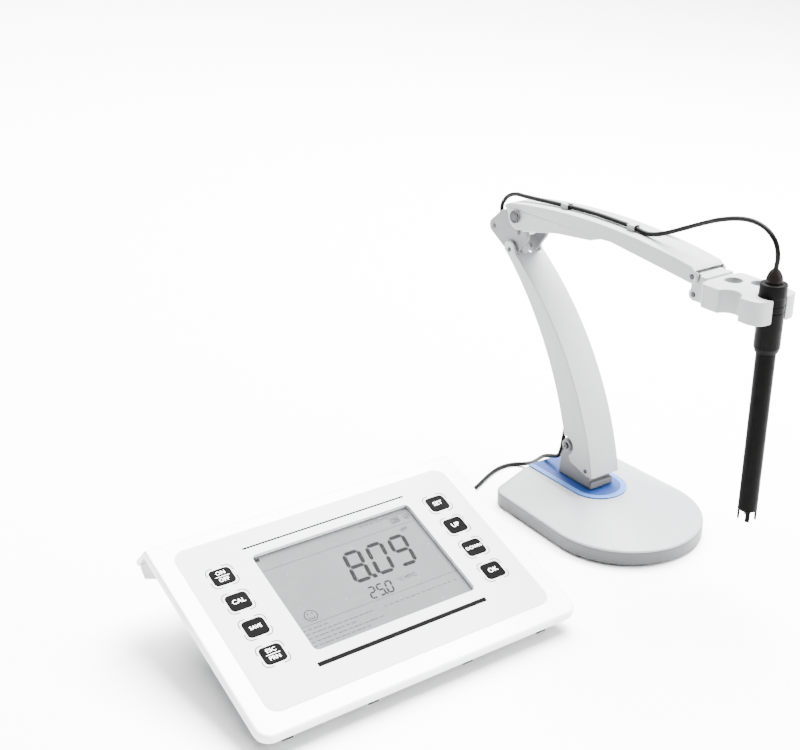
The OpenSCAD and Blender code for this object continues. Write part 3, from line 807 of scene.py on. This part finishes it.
@dataclass
class MeterCase:
    """The sloping case: cover, printed overlay, tray, foot and what shows at the rear."""

    layout: Layout
    window: tuple[float, float, float, float] = (56.0, 40.0, 114.0, 78.0)
    overlay_mm: tuple[float, float, float, float] = (12.5, 13.0, 197.0, 125.0)
    key_left: float = 33.0
    key_row: float = 48.3
    key_pitch: float = 20.7
    key_size: Point2 = (13.6, 12.0)
    overlay_t: float = 0.25

    def key_centre(self, column: int, row: int) -> Point2:
        """The middle of a key on the face."""
        x = self.key_left if column == 0 else self.layout.case_w - self.key_left
        return (x, self.key_row + row * self.key_pitch)

    def cover(self) -> None:
        """The white cover, with a well-rounded rim and a softer ridge."""
        bm = cad_copy("top_cover")
        back = self.layout.case().inverted()
        wide, deep = self.layout.case_w, self.layout.case_d

        def outer(e: Edge) -> bool:
            """Whether the edge is on the face's outer outline."""
            a, b = (back @ v.co for v in e.verts)
            mid = (a + b) / 2
            flat = abs(a.z) < 0.05 and abs(b.z) < 0.05
            return flat and (mid.x < 10 or mid.x > wide - 10 or mid.y < 10 or mid.y > deep - 2)

        def flange_end(e: Edge) -> bool:
            """Whether the edge is on the rear flange's outline."""
            a, b = (back @ v.co for v in e.verts)
            return min(a.y, b.y) > deep + 1

        def rim_foot(e: Edge) -> bool:
            """Whether the edge is at the foot of the rim."""
            a, b = (back @ v.co for v in e.verts)
            return max(a.z, b.z) < -5.9 and max(a.y, b.y) < deep

        round_edges(bm, 2.2, 4, outer)
        round_edges(bm, 0.9, 3, flange_end)
        round_edges(bm, 0.5, 2, rim_foot)
        finish_piece("case_cover", bm, Surface.CASE_WHITE, "bench_set", ["top_cover"])

    def overlay(self) -> None:
        """The thin printed sheet on the face, open at the display and the keys."""
        x, y, w, h = self.overlay_mm
        wx, wy, ww, wh = self.window
        holes = [rounded_outline((wx + ww / 2, wy + wh / 2), (ww, wh), 3.4)]
        kw, kh = self.key_size
        for sign in Sign:
            holes.append(rounded_outline(self.key_centre(*sign.value[3:]), (kw + 0.5, kh + 0.5), 2.8, 5))
        bm = bmesh.new()
        add_slab(bm, rounded_outline((x + w / 2, y + h / 2), (w, h), 8.0), 0.0, self.overlay_t, holes)
        finish_piece("face_overlay", place(bm, self.layout.case()), Surface.OVERLAY, "bench_set")

    def print_marks(self) -> None:
        """The printed bars above and below the display and the broken frame round each key."""
        bm = bmesh.new()
        low, high = self.overlay_t, self.overlay_t + 0.06
        add_bar(bm, (53.6, 124.8), (171.0, 124.8), 1.2, low, high)
        add_bar(bm, (52.4, 31.0), (171.0, 31.0), 3.0, low, high)
        half_w, half_h = self.key_size[0] / 2 + 1.7, self.key_size[1] / 2 + 1.7
        r, line, run = 3.4, 0.55, 2.1
        for sign in Sign:
            cx, cy = self.key_centre(*sign.value[3:])
            for quarter in range(4):
                sx = 1 if quarter in (0, 3) else -1
                sy = 1 if quarter in (0, 1) else -1
                hub = (cx + sx * (half_w - r), cy + sy * (half_h - r))
                add_arc(bm, hub, r, line, (90 * quarter, 90 * quarter + 90), low, high, 6)
                edge_x, edge_y = cx + sx * half_w, cy + sy * half_h
                add_bar(bm, (hub[0], edge_y), (hub[0] - sx * run, edge_y), line, low, high)
                add_bar(bm, (edge_x, hub[1]), (edge_x, hub[1] - sy * run), line, low, high)
        finish_piece("face_print", place(bm, self.layout.case()), Surface.INK, "bench_set")

    def keys(self) -> None:
        """The eight keys, each with a soft edge and its raised words."""
        for sign in Sign:
            node, body, words, column, row = sign.value
            centre = self.key_centre(column, row)
            w, h = self.key_size
            bm = bmesh.new()
            add_slab(bm, rounded_outline(centre, (w, h), 2.6, 5), -2.5, 0.62)
            tops = [e for e in bm.edges if all(v.co.z > 0.6 for v in e.verts) and len(e.link_faces) == 2]
            rim = [e for e in tops if e.calc_face_angle(0.0) > 0.7]
            bevel_edges(bm, rim, 0.35, 3)
            add_slab(bm, rounded_outline(centre, (w + 2, h + 2), 1.0, 2), -3.3, -2.5)
            add_slab(bm, rounded_outline(centre, (3.0, 3.0), 1.49, 6), -3.95, -3.3)
            finish_piece(f"{node}_cap", place(bm, self.layout.case()), Surface.KEY_BLACK, body, [node])
            bm = bmesh.new()
            if len(words) == 2:
                lettering(bm, words[0], (centre[0], centre[1] + 2.7), 3.9, 0.6, 0.68)
                lettering(bm, words[1], (centre[0], centre[1] - 2.7), 3.9, 0.6, 0.68)
                add_bar(bm, (centre[0] - 4.4, centre[1]), (centre[0] + 4.4, centre[1]), 0.35, 0.6, 0.7)
            else:
                size = {2: 4.8, 3: 4.5, 4: 3.5}[len(words[0])]
                lettering(bm, words[0], centre, size, 0.6, 0.7)
            bm.transform(self.layout.case())
            finish_piece(f"{node}_words", bm, Surface.KEY_MARK, body)

    def underside(self) -> None:
        """The tray, the foot, the feet and the screws under the case."""
        # The tray and foot are dark grey as painted shade: the strip of tray under the rim stands in for the
        # shade there.
        softened("case_bottom_tray", "case_tray", Surface.CASE_GREY, "bench_set", 0.5)
        softened("case_rear_foot", "case_foot", Surface.CASE_GREY, "bench_set", 0.5)
        softened("case_rubber_feet", "case_feet", Surface.RUBBER, "bench_set", 0.4)
        softened("case_screw_set", "case_screws", Surface.SCREW, "bench_set", 0.0)

    def sockets(self) -> None:
        """The sockets at the rear and the boards inside."""
        softened("electrode_socket", "ph_socket", Surface.PLATED, "bench_set", 0.2)
        softened("temperature_socket", "temp_socket", Surface.DARK, "bench_set", 0.2)
        softened("data_socket", "serial_socket", Surface.PLATED, "bench_set", 0.25)
        softened("supply_socket", "power_socket", Surface.DARK, "bench_set", 0.2)
        for node, surface in (
            ("main_board", Surface.BOARD), ("socket_board", Surface.BOARD), ("key_switches", Surface.DARK),
            ("display_frame", Surface.DARK),
        ):
            dress(node, surface)

    def build(self) -> None:
        """Makes the whole case."""
        self.cover()
        self.overlay()
        self.print_marks()
        self.keys()
        self.underside()
        self.sockets()


@dataclass
class Display:
    """The liquid-crystal display behind its clear lens."""

    layout: Layout
    glass_top: float = -2.7
    mark_t: float = 0.06
    big: DigitStyle = DigitStyle(10.4, 22.0, 16.6, 2.7, 0.16)
    small: DigitStyle = DigitStyle(3.8, 8.2, 6.0, 1.15, 0.16)
    clock: DigitStyle = DigitStyle(2.1, 3.9, 3.3, 0.6, 0.1)

    def ground(self) -> None:
        """The grey glass and the lens over it."""
        softened("display_ground", "display_glass", Surface.DISPLAY, "bench_set", 0.2)
        dress("display_lens", Surface.LENS)

    def marks(self) -> None:
        """The reading, its unit, the temperature, the clock, the smiling sign and a small mark at the top
        left.
        """
        low, high = self.glass_top, self.glass_top + self.mark_t
        bm = bmesh.new()
        self.big.add(bm, [Digit.D8, Digit.D0, Digit.D9], (106.6, 76.4), low, high, 0)
        self.small.add(bm, [Digit.D2, Digit.D5, Digit.D0], (108.6, 61.4), low, high, 1)
        self.clock.add(bm, [Digit.D0, Digit.D8], (153.6, 109.0), low, high)
        self.clock.add(bm, [Digit.D1, Digit.D2], (161.6, 109.0), low, high)
        lettering(bm, "pH", (157.8, 102.6), 4.2, low, high)
        lettering(bm, "°C MTC", (137.4, 67.4), 4.0, low, high)
        add_arc(bm, (68.0, 65.4), 4.0, 0.45, (0, 360), low, high, 36)
        add_arc(bm, (68.0, 65.0), 2.1, 0.45, (205, 335), low, high, 12)
        for eye in (-1.5, 1.5):
            add_slab(bm, rounded_outline((68.0 + eye, 66.9), (0.9, 0.9), 0.44, 3), low, high)
        add_slab(bm, rounded_outline((59.2, 115.6), (3.4, 2.6), 0.3, 2), low, high)
        finish_piece("display_marks", place(bm, self.layout.case()), Surface.DISPLAY_MARK, "bench_set")

    def rules(self) -> None:
        """The fine dashed rules and the rows of short strokes at the foot."""
        low, high = self.glass_top, self.glass_top + self.mark_t
        bm = bmesh.new()
        for height in (106.2, 59.4):
            for step in range(57):
                x = 56.6 + step * 2.0
                add_bar(bm, (x, height), (x + 1.4, height), 0.35, low, high)
        for row, (start, strokes) in enumerate(((57.5, 5), (58.5, 13), (58.5, 9), (58.5, 14), (58.5, 11))):
            y = 56.6 - row * 3.0
            for step in range(strokes):
                x = start + step * 3.6
                add_bar(bm, (x, y), (x + 2.0 + 0.9 * ((step * 7 + row * 3) % 3) / 2, y), 0.5, low, high)
        for step in range(14):
            x = 112.0 + step * 3.9
            add_bar(bm, (x, 53.4), (x + 1.6 + 0.5 * (step % 3), 53.4), 0.5, low, high)
        for step in range(9):
            x = 132.0 + step * 3.9
            add_bar(bm, (x, 114.6), (x + 2.2, 114.6), 0.6, low, high)
        finish_piece("display_fine_marks", place(bm, self.layout.case()), Surface.DISPLAY_FAINT, "bench_set")

    def build(self) -> None:
        """Makes the whole display."""
        self.ground()
        self.marks()
        self.rules()


# ---------------------------------------------------------------- the stand


@dataclass
class StandBase:
    """The weighted base: side wall, crowned shell and blue plate."""

    layout: Layout
    radius: float = 56.5
    rear: float = -41.0
    nose: float = 38.5
    wall_top: float = 10.6
    edge: float = 12.0
    crown: float = 8.5
    tongue_x: float = 12.5
    tongue_r: float = 21.0

    def outline(
        self, centre: float, radius: float, rear: float, corner: float, narrow: float = 0.0
    ) -> list[Point2]:
        """A round-nosed outline with rounded rear corners.

        Args:
            centre: The centre of the round nose.
            radius: The nose's radius and half the width.
            rear: The rear edge.
            corner: The radius of the rear corners.
            narrow: How much the rear is narrower on each side.

        Returns:
            The outline's points, always 66 of them.
        """
        points = [
            (centre + radius * math.cos(a), radius * math.sin(a))
            for a in (math.radians(-90 + 180 * i / 47) for i in range(48))
        ]
        for quarter, side in ((1, 1), (2, -1)):
            middle = (rear + corner, side * (radius - narrow - corner))
            points += [
                (middle[0] + corner * math.cos(a), middle[1] + corner * math.sin(a))
                for a in (math.radians(90 * quarter + 90 * i / 8) for i in range(9))
            ]
        return points

    def ring(self, bm: Mesh, outline: Sequence[Point2], height: float) -> list[Edge]:
        """Adds a closed ring of edges at that height."""
        verts = [bm.verts.new((x, y, height)) for x, y in outline]
        return [bm.edges.new(pair) for pair in zip(verts, verts[1:] + verts[:1])]

    def loft(self, rings: Sequence[tuple[Sequence[Point2], float]]) -> Mesh:
        """A closed shell through rings, from the lowest to the highest."""
        bm = bmesh.new()
        loops = [self.ring(bm, outline, height) for outline, height in rings]
        for lower, upper in zip(loops, loops[1:]):
            bmesh.ops.bridge_loops(bm, edges=lower + upper)
        for loop in (loops[0], loops[-1]):
            bmesh.ops.triangle_fill(bm, use_beauty=True, use_dissolve=True, edges=loop)
        bmesh.ops.recalc_face_normals(bm, faces=bm.faces)
        return bm

    def inset(self, by: float) -> list[Point2]:
        """The base's outline, by millimetres further in."""
        return self.outline(self.nose, self.radius - by, self.rear + by, 13.0 - by, 2.0)

    def wall(self) -> None:
        """The side wall, coloured much darker than the shell as painted shade."""
        rings = [(self.inset(0.8), 1.0), (self.inset(0.0), 1.8), (self.inset(0.0), self.wall_top)]
        rings.append((self.inset(0.5), self.wall_top + 0.01))
        wall = place(self.loft(rings), self.layout.stand())
        finish_piece("base_side_wall", wall, Surface.BASE_WALL, "bench_set", ["stand_base"])

    def shell(self) -> None:
        """The crowned light shell above the wall."""
        top = self.outline(self.tongue_x, self.tongue_r + 4, self.rear + 2.5, 3.0, 0.5)
        edge = self.inset(1.6)
        rings = [
            (self.inset(0.35), self.wall_top),
            (self.inset(0.1), self.wall_top + 0.4),
            (self.inset(0.5), self.edge - 0.5),
            (self.inset(0.95), self.edge - 0.1),
        ]
        for step in range(13):
            t = step / 12
            lift = 0.75 * t + 0.25 * math.sin(math.pi * t / 2)
            mixed = [(a[0] + (b[0] - a[0]) * t, a[1] + (b[1] - a[1]) * t) for a, b in zip(edge, top)]
            rings.append((mixed, self.edge + 0.15 + (self.crown - 0.15) * lift))
        shell = place(self.loft(rings), self.layout.stand())
        finish_piece("base_shell", shell, Surface.BASE_TOP, "bench_set", limit=50.0)

    def plate(self) -> None:
        """The blue plate, with a thin darker blue sheet on it as painted shadow of the block."""
        top = self.edge + self.crown
        for name, radius, low, high, surface, old in (
            ("base_blue_plate", self.tongue_r, top, top + 1.0, Surface.BLUE_RIM, ["base_trim"]),
            # The second, darker sheet is painted shadow of the block, not a separate inlay.
            ("base_blue_painted_shadow", self.tongue_r - 4.2, top + 1.0, top + 1.12, Surface.BLUE_DEEP, []),
        ):
            outline = self.outline(self.tongue_x, radius, self.rear + 2.5, 0.6, 0.0)
            rings = [(outline, low), (outline, high - 0.05)]
            rings.append((self.outline(self.tongue_x, radius - 0.3, self.rear + 2.8, 0.5, 0.0), high))
            finish_piece(name, place(self.loft(rings), self.layout.stand()), surface, "bench_set", old)

    def build(self) -> None:
        """Makes the whole base."""
        self.wall()
        self.shell()
        self.plate()
        softened("base_rubber_feet", "base_feet", Surface.RUBBER, "bench_set", 0.3)
        dress("base_weight", Surface.IRON)
        dress("swivel_bolt", Surface.STEEL)
        softened("swivel_ring", "swivel_washer", Surface.DARK, "bench_set", 0.0)


@dataclass
class Arms:
    """The block, both arms with their links, and the elbow between them."""

    layout: Layout

    def hub(self, name: str, pivot: Vector, body: str, side: int, surface: Surface) -> None:
        """A round hub cap with a recessed middle, on one side of an arm.

        Args:
            name: The piece's name.
            pivot: The axle's place, as (forward, up).
            body: The body that it rides on.
            side: -1 for the meter's side, 1 for the other.
            surface: The finish.
        """
        outer = [(0, 0.1), (4.5, 0.1), (4.5, 1.9), (4.35, 2.3), (3.9, 2.5)]
        recess = [(2.9, 2.5), (2.6, 2.3), (2.45, 1.2), (0, 1.2)]
        bm = lathe(outer + recess)
        bm.transform(Matrix.Rotation(-math.pi / 2 * side, 4, "X"))
        bm.transform(Matrix.Translation((pivot.x, side * self.layout.arm_w / 2, pivot.y)))
        finish_piece(name, place(bm, self.layout.stand()), surface, body)

    def screw(self, name: str, pivot: Vector, body: str, side: int, off: float, radius: float = 1.9) -> None:
        """A small socket-head screw at a pivot's end."""
        head = [(0, 0), (radius, 0), (radius, 0.7), (radius - 0.25, 0.95)]
        socket = [(radius * 0.55, 0.95), (radius * 0.45, 0.3), (0, 0.3)]
        bm = lathe(head + socket, 24)
        bm.transform(Matrix.Rotation(-math.pi / 2 * side, 4, "X"))
        bm.transform(Matrix.Translation((pivot.x, side * off, pivot.y)))
        finish_piece(name, place(bm, self.layout.stand()), Surface.SCREW, body)

    def build(self) -> None:
        """Makes the block, the arms, the links and the elbow."""
        softened("turning_block", "pivot_block", Surface.BLOCK, "swivel_block", 0.6, 3)
        softened("block_axle_rod", "block_axle", Surface.STEEL, "swivel_block", 0.2)
        softened("block_pin_rod", "block_pins", Surface.STEEL, "swivel_block", 0.2)
        softened("lower_arm_shell", "lower_arm", Surface.ARM, "lower_arm_body", 0.8, 3)
        softened("lower_link_bar", "lower_link", Surface.LINK, "lower_link_body", 0.5)
        softened("elbow_cheeks", "elbow_bracket", Surface.BLOCK, "elbow", 0.6, 3)
        softened("elbow_axle_rod", "elbow_axle", Surface.STEEL, "elbow", 0.15)
        softened("elbow_pin_rods", "elbow_pins", Surface.STEEL, "elbow", 0.2)
        softened("upper_arm_shell", "upper_arm", Surface.ARM, "upper_arm_body", 0.8, 3)
        softened("upper_link_bar", "upper_link", Surface.LINK, "upper_link_body", 0.4)
        softened("lead_clip_set", "lead_clips", Surface.ARM, "upper_arm_body", 0.4)
        for side, where in ((-1, "left"), (1, "right")):
            self.hub(f"elbow_hub_{where}", self.layout.elbow_axle, "elbow", side, Surface.ARM)
            off = self.layout.arm_w / 2 + 0.3
            self.screw(f"block_screw_{where}", self.layout.block_axle, "swivel_block", side, off)


@dataclass
class Holder:
    """The electrode holder at the end of the upper arm."""

    layout: Layout

    def build(self) -> None:
        """Makes the holder and its pins."""
        softened("electrode_holder", "probe_holder", Surface.ARM, "holder", 0.7, 3)
        softened("holder_pin_rods", "holder_pins", Surface.STEEL, "holder", 0.2)


@dataclass
class Electrode:
    """The pH electrode: cap, shaft, glass tip and gland."""

    layout: Layout
    cap_r: float = 7.85
    collar_r: float = 8.1
    shaft_r: float = 6.0
    collar_h: float = 8.0
    cap_h: float = 40.0

    def stand_on(self, bm: Mesh, height: float) -> Mesh:
        """Puts a lathed mesh on the electrode's axis at a height above the holder."""
        bm.transform(Matrix.Translation((self.layout.probe_x, 0, self.layout.holder_top + 0.01 + height)))
        return place(bm, self.layout.stand())

    def cap(self) -> None:
        """The black cap with its collar, a waist line and two grooves."""
        r, c, low = self.cap_r, self.collar_r, self.collar_h - self.cap_h
        profile = [
            (0, low - 2.6), (self.shaft_r + 0.5, low - 3.0), (self.shaft_r + 0.9, low - 2.8),
            (r - 0.25, low - 0.4), (r, low + 0.2), (r, -9.4), (r - 0.35, -9.2), (r - 0.35, -8.4),
            (r, -8.2), (r, -5.2), (r - 0.3, -5.0), (r - 0.3, -4.4), (r, -4.2),
            (r, -0.0), (c - 0.2, 0.0), (c, 0.25), (c, self.collar_h - 0.8), (c - 0.25, self.collar_h - 0.25),
            (c - 0.8, self.collar_h), (0, self.collar_h),
        ]
        cap = self.stand_on(lathe(profile, 64), 0.0)
        finish_piece("electrode_cap", cap, Surface.CAP, "electrode", ["probe_cap"])

    def gland(self) -> None:
        """The domed gland that the lead comes out of."""
        profile = [
            (0, 0), (5.1, 0), (5.1, 1.2), (4.8, 1.4), (4.8, 2.0), (5.0, 2.2), (4.7, 3.6), (4.1, 5.2),
            (3.2, 6.8), (2.2, 8.0), (1.7, 8.5), (0, 8.5),
        ]
        gland = self.stand_on(lathe(profile, 40), self.collar_h)
        finish_piece("electrode_gland", gland, Surface.GLAND, "electrode", ["probe_gland"])

    def build(self) -> None:
        """Makes the whole electrode."""
        self.cap()
        self.gland()
        softened("electrode_shaft", "probe_shaft", Surface.PROBE, "electrode", 0.25, 2)
        softened("electrode_tip", "probe_tip", Surface.BULB, "electrode", 0.0)


# ---------------------------------------------------------------- the lead


@dataclass
class LeadPart:
    """One stretch of the lead, from one route point to another.

    Args:
        name: The piece's name.
        node: The node that it stands for.
        span: The first and last route point.
        bodies: The body that it rides on, or the two that it runs between.
        free: Whether it hangs or lies free. Not used.
    """

    name: str
    node: str
    span: tuple[int, int]
    bodies: tuple[str, ...]
    free: bool = False


@dataclass
class Lead:
    """The electrode's lead, one smooth line from the gland to the plug at the meter's rear."""

    layout: Layout
    diameter: float = 3.0
    side: float = -4.0
    inside: float = -5.4
    gland_top: float = 16.5
    route: list[Vector] = field(default_factory=list)
    fine: list[Vector] = field(default_factory=list)
    starts: list[int] = field(default_factory=list)

    def plot(self) -> None:
        """Lays out the route in the stand's frame, and the fine line through it in the row frame."""
        lay, y, deep = self.layout, self.side, self.inside
        x0, z0 = lay.probe_x, lay.holder_top + 0.01 + self.gland_top
        cx, cz = lay.elbow_axle
        loop = [
            (0, 0, 0), (0.5, 0, 7), (-2, 0, 15), (-9, 0, 21), (-19, 0, 23.5), (-31, 0, 22.5), (-45, -1, 18.5),
            (-57, -1, 13.5), (-71, -2, 7), (-83, -3, 1.5), (-93, y, -2.2), (-101, y, -3.6),
        ]
        arm = [(34, 17.2), (20, 17.5), (0, 17.6), (-20, 16.8), (-40, 15.4)]
        rear = [
            (-3, y, 12.8), (-12, y, 12.2), (-20.5, -4.6, 8.6), (-25.5, deep, 1), (-24, deep, -9.5),
            (-17.4, deep, -20),
        ]
        lower = [
            (-79, 169), (-67, 155), (-55, 141), (-44, 127), (-35, 113), (-28, 99), (-22, 85), (-17.8, 73),
        ]
        foot = [(-17, 64), (-18.2, 55), (-19.6, 46), (-21, 38), (-24, 31)]
        fall = [
            (-31, -5.4, 27.6), (-39, -5, 24.1), (-46.5, -3.4, 18.6), (-54, -1.4, 12.4), (-62, 0.6, 6.9),
            (-70, 1, 2.6), (-75, -3, 1.5), (-77, -11, 1.5), (-76, -20, 1.5), (-72, -31, 1.5), (-66, -43, 1.5),
            (-60, -56, 1.5), (-58, -70, 1.5), (-62, -85, 1.5), (-72, -97, 1.5), (-85, -104, 1.5),
            (-97, -112, 1.5), (-104, -124, 1.5), (-106, -138, 1.5), (-104, -152, 1.5), (-98, -165, 2.5),
            (-89, -173, 7), (-79, -177.6, 14.5), (-69, -178.9, 20),
        ]
        self.route = [Vector((x0 + p[0], p[1], z0 + p[2])) for p in loop]
        self.route += [Vector((cx + 72.6 + a, y, cz + b)) for a, b in arm]
        self.route += [Vector((cx + p[0], p[1], cz + p[2])) for p in rear]
        self.route += [Vector((a, deep, b)) for a, b in lower + foot]
        self.route += [Vector(p) for p in fall]
        low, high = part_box("lead_plug")
        tail = self.layout.stand().inverted() @ Vector(((low.x + high.x) / 2, high.y, (low.z + high.z) / 2))
        self.route.append(tail)
        self.smooth()

    def smooth(self, step: float = 1.6) -> None:
        """Fills self.fine with the fine line, and self.starts with where each route point is in it."""
        pts, matrix = self.route, self.layout.stand()
        ways = [(pts[min(i + 1, len(pts) - 1)] - pts[max(i - 1, 0)]).normalized() for i in range(len(pts))]
        for i, (a, b) in enumerate(zip(pts, pts[1:])):
            self.starts.append(len(self.fine))
            length = (b - a).length
            count = max(2, round(length / step))
            for k in range(count):
                t = k / count
                h1, h2 = 2 * t**3 - 3 * t**2 + 1, t**3 - 2 * t**2 + t
                h3, h4 = -2 * t**3 + 3 * t**2, t**3 - t**2
                bend = ways[i] * length * h2 + ways[i + 1] * length * h4
                self.fine.append(matrix @ (a * h1 + b * h3 + bend))
        self.starts.append(len(self.fine))
        self.fine.append(matrix @ pts[-1])

    def parts(self) -> list[LeadPart]:
        """The lead's stretches, in the frame's own division."""
        last = len(self.route) - 1
        return [
            LeadPart("lead_at_gland", "lead_probe", (0, 4), ("electrode", "holder"), True),
            LeadPart("lead_free_loop", "lead_loop", (4, 11), ("holder", "upper_arm_body"), True),
            LeadPart("lead_on_arm", "lead_upper", (11, 17), ("upper_arm_body",)),
            LeadPart("lead_over_elbow", "lead_elbow_top", (17, 21), ("upper_arm_body", "elbow")),
            LeadPart("lead_into_arm", "lead_elbow_low", (21, 23), ("elbow", "lower_arm_body")),
            LeadPart("lead_in_arm", "lead_lower", (23, 30), ("lower_arm_body",)),
            LeadPart("lead_at_foot", "lead_foot", (30, 35), ("lower_arm_body", "swivel_block")),
            LeadPart("lead_on_bench", "lead_table", (35, last), ("swivel_block", "bench_set"), True),
        ]

    def tube(self, line: Sequence[Vector]) -> Mesh:
        """A round tube along a line."""
        curve = bpy.data.curves.new("lead line", "CURVE")
        curve.dimensions = "3D"
        spline = curve.splines.new("POLY")
        spline.points.add(len(line) - 1)
        for point, spot in zip(spline.points, line):
            point.co = (*spot, 1.0)
        curve.bevel_depth = self.diameter / 2 * MM
        curve.bevel_resolution = 3
        curve.use_fill_caps = True
        holder = bpy.data.objects.new("lead line", curve)
        bpy.context.scene.collection.objects.link(holder)
        bpy.context.view_layer.update()
        mesh = bpy.data.meshes.new_from_object(holder.evaluated_get(bpy.context.evaluated_depsgraph_get()))
        bm = bmesh.new()
        bm.from_mesh(mesh)
        bpy.data.objects.remove(holder)
        bpy.data.curves.remove(curve)
        bpy.data.meshes.remove(mesh)
        bmesh.ops.remove_doubles(bm, verts=bm.verts, dist=1e-6)
        bmesh.ops.recalc_face_normals(bm, faces=bm.faces)
        return bm

    def build(self) -> None:
        self.plot()
        plug = self.plug()
        for part in self.parts():
            line = self.fine[self.starts[part.span[0]]: self.starts[part.span[1]] + 1]
            crosses = len(part.bodies) == 2
            body = None if crosses else part.bodies[0]
            piece = finish_piece(part.name, self.tube(line), Surface.LEAD, body, [part.node], 60.0)
            if crosses:
                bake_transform(piece)

    def plug(self) -> bpy.types.Object:
        """The plated bayonet plug at the lead's far end, with its knurled sleeve and boot."""
        low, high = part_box("lead_plug")
        long = (high.y - low.y) / MM
        profile = [
            (0, 8.6), (4.95, 8.6), (4.95, 0.0), (6.6, 0.0), (7.0, 0.4), (7.0, 3.2), (6.5, 3.5), (6.5, 4.4),
            (7.0, 4.7), (7.0, 13.2), (6.6, 13.6), (5.4, 13.9), (5.4, 16.0), (6.2, 16.3), (6.2, 28.0),
            (5.6, 29.0), (4.2, 30.0), (4.0, long - 8.0), (2.3, long - 0.6), (1.7, long), (0, long),
        ]
        bm = lathe(profile, 40)
        bm.transform(Matrix.Rotation(-math.pi / 2, 4, "X"))
        bm.transform(Matrix.Scale(MM, 4))
        bm.transform(Matrix.Translation(((low.x + high.x) / 2, low.y, (low.z + high.z) / 2)))
        bmesh.ops.recalc_face_normals(bm, faces=bm.faces)
        return finish_piece("lead_bayonet_plug", bm, Surface.PLATED, "bench_set", ["lead_plug"])


# ---------------------------------------------------------------- the studio


@dataclass
class Studio:
    """The camera, the soft lights and the pale floor."""

    layout: Layout
    eye: Point3 = (-255.7, -499.6, 463.8)
    yaw: float = 34.51
    pitch: float = 23.24
    lens: float = 59.085

    def camera(self) -> None:
        """Places the camera."""
        data = bpy.data.cameras.new("camera")
        data.lens = self.lens
        data.sensor_width = 36.0
        data.clip_start, data.clip_end = 0.01, 50.0
        camera = bpy.data.objects.new("camera", data)
        bpy.context.scene.collection.objects.link(camera)
        nod = Matrix.Rotation(math.radians(90 - self.pitch), 4, "X")
        turn = Matrix.Rotation(-math.radians(self.yaw), 4, "Z") @ nod
        camera.matrix_world = Matrix.Translation(self.layout.bench() @ Vector(self.eye)) @ turn
        bpy.context.scene.camera = camera

    def light(self, name: str, spot: Point3, target: Point3, size: float, power: float) -> None:
        """Adds a soft square light.

        Args:
            name: The light's name.
            spot: Where it is, in metres.
            target: Where it points.
            size: The length of its side, in metres.
            power: Its power in watts.
        """
        data = bpy.data.lights.new(name, "AREA")
        data.size = size
        data.energy = power
        lamp = bpy.data.objects.new(name, data)
        bpy.context.scene.collection.objects.link(lamp)
        way = Vector(target) - Vector(spot)
        lamp.matrix_world = Matrix.Translation(spot) @ way.to_track_quat("-Z", "Y").to_matrix().to_4x4()

    def floor(self) -> None:
        """Adds the pale floor."""
        bm = bmesh.new()
        bmesh.ops.create_grid(bm, x_segments=1, y_segments=1, size=30.0)
        mesh = bpy.data.meshes.new("floor")
        bm.to_mesh(mesh)
        bm.free()
        floor = bpy.data.objects.new("floor", mesh)
        bpy.context.scene.collection.objects.link(floor)
        mesh.materials.append(Moulded("floor", (0.92, 0.92, 0.92), 0.8, 3.0, 0.01, 0.01).material())

    def build(self) -> None:
        """Makes the whole studio."""
        self.camera()
        self.floor()
        world = bpy.data.worlds.new("studio")
        world.use_nodes = True
        world.node_tree.nodes["Background"].inputs["Color"].default_value = (1.0, 1.0, 1.0, 1.0)
        world.node_tree.nodes["Background"].inputs["Strength"].default_value = 0.55
        bpy.context.scene.world = world
        self.light("top light", (0.75, 0.2, 1.85), (0.0, 0.0, 0.0), 1.4, 520.0)
        self.light("rear light", (0.6, 2.6, 2.6), (0.6, 2.6, 0.0), 3.0, 900.0)
        self.light("front light", (1.2, -1.4, 1.0), (0.05, 0.0, 0.1), 1.0, 75.0)


def main() -> None:
    """Loads the frame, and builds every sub-assembly."""
    logging.basicConfig(level=logging.INFO, format="%(name)s: %(message)s")
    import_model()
    layout = Layout()
    Studio(layout).build()
    Lead(layout).build()
    for assembly in (MeterCase, Display, StandBase, Arms, Holder, Electrode):
        assembly(layout).build()
        LOG.info("%s done", assembly.__name__)


if __name__ == "__main__":
    main()
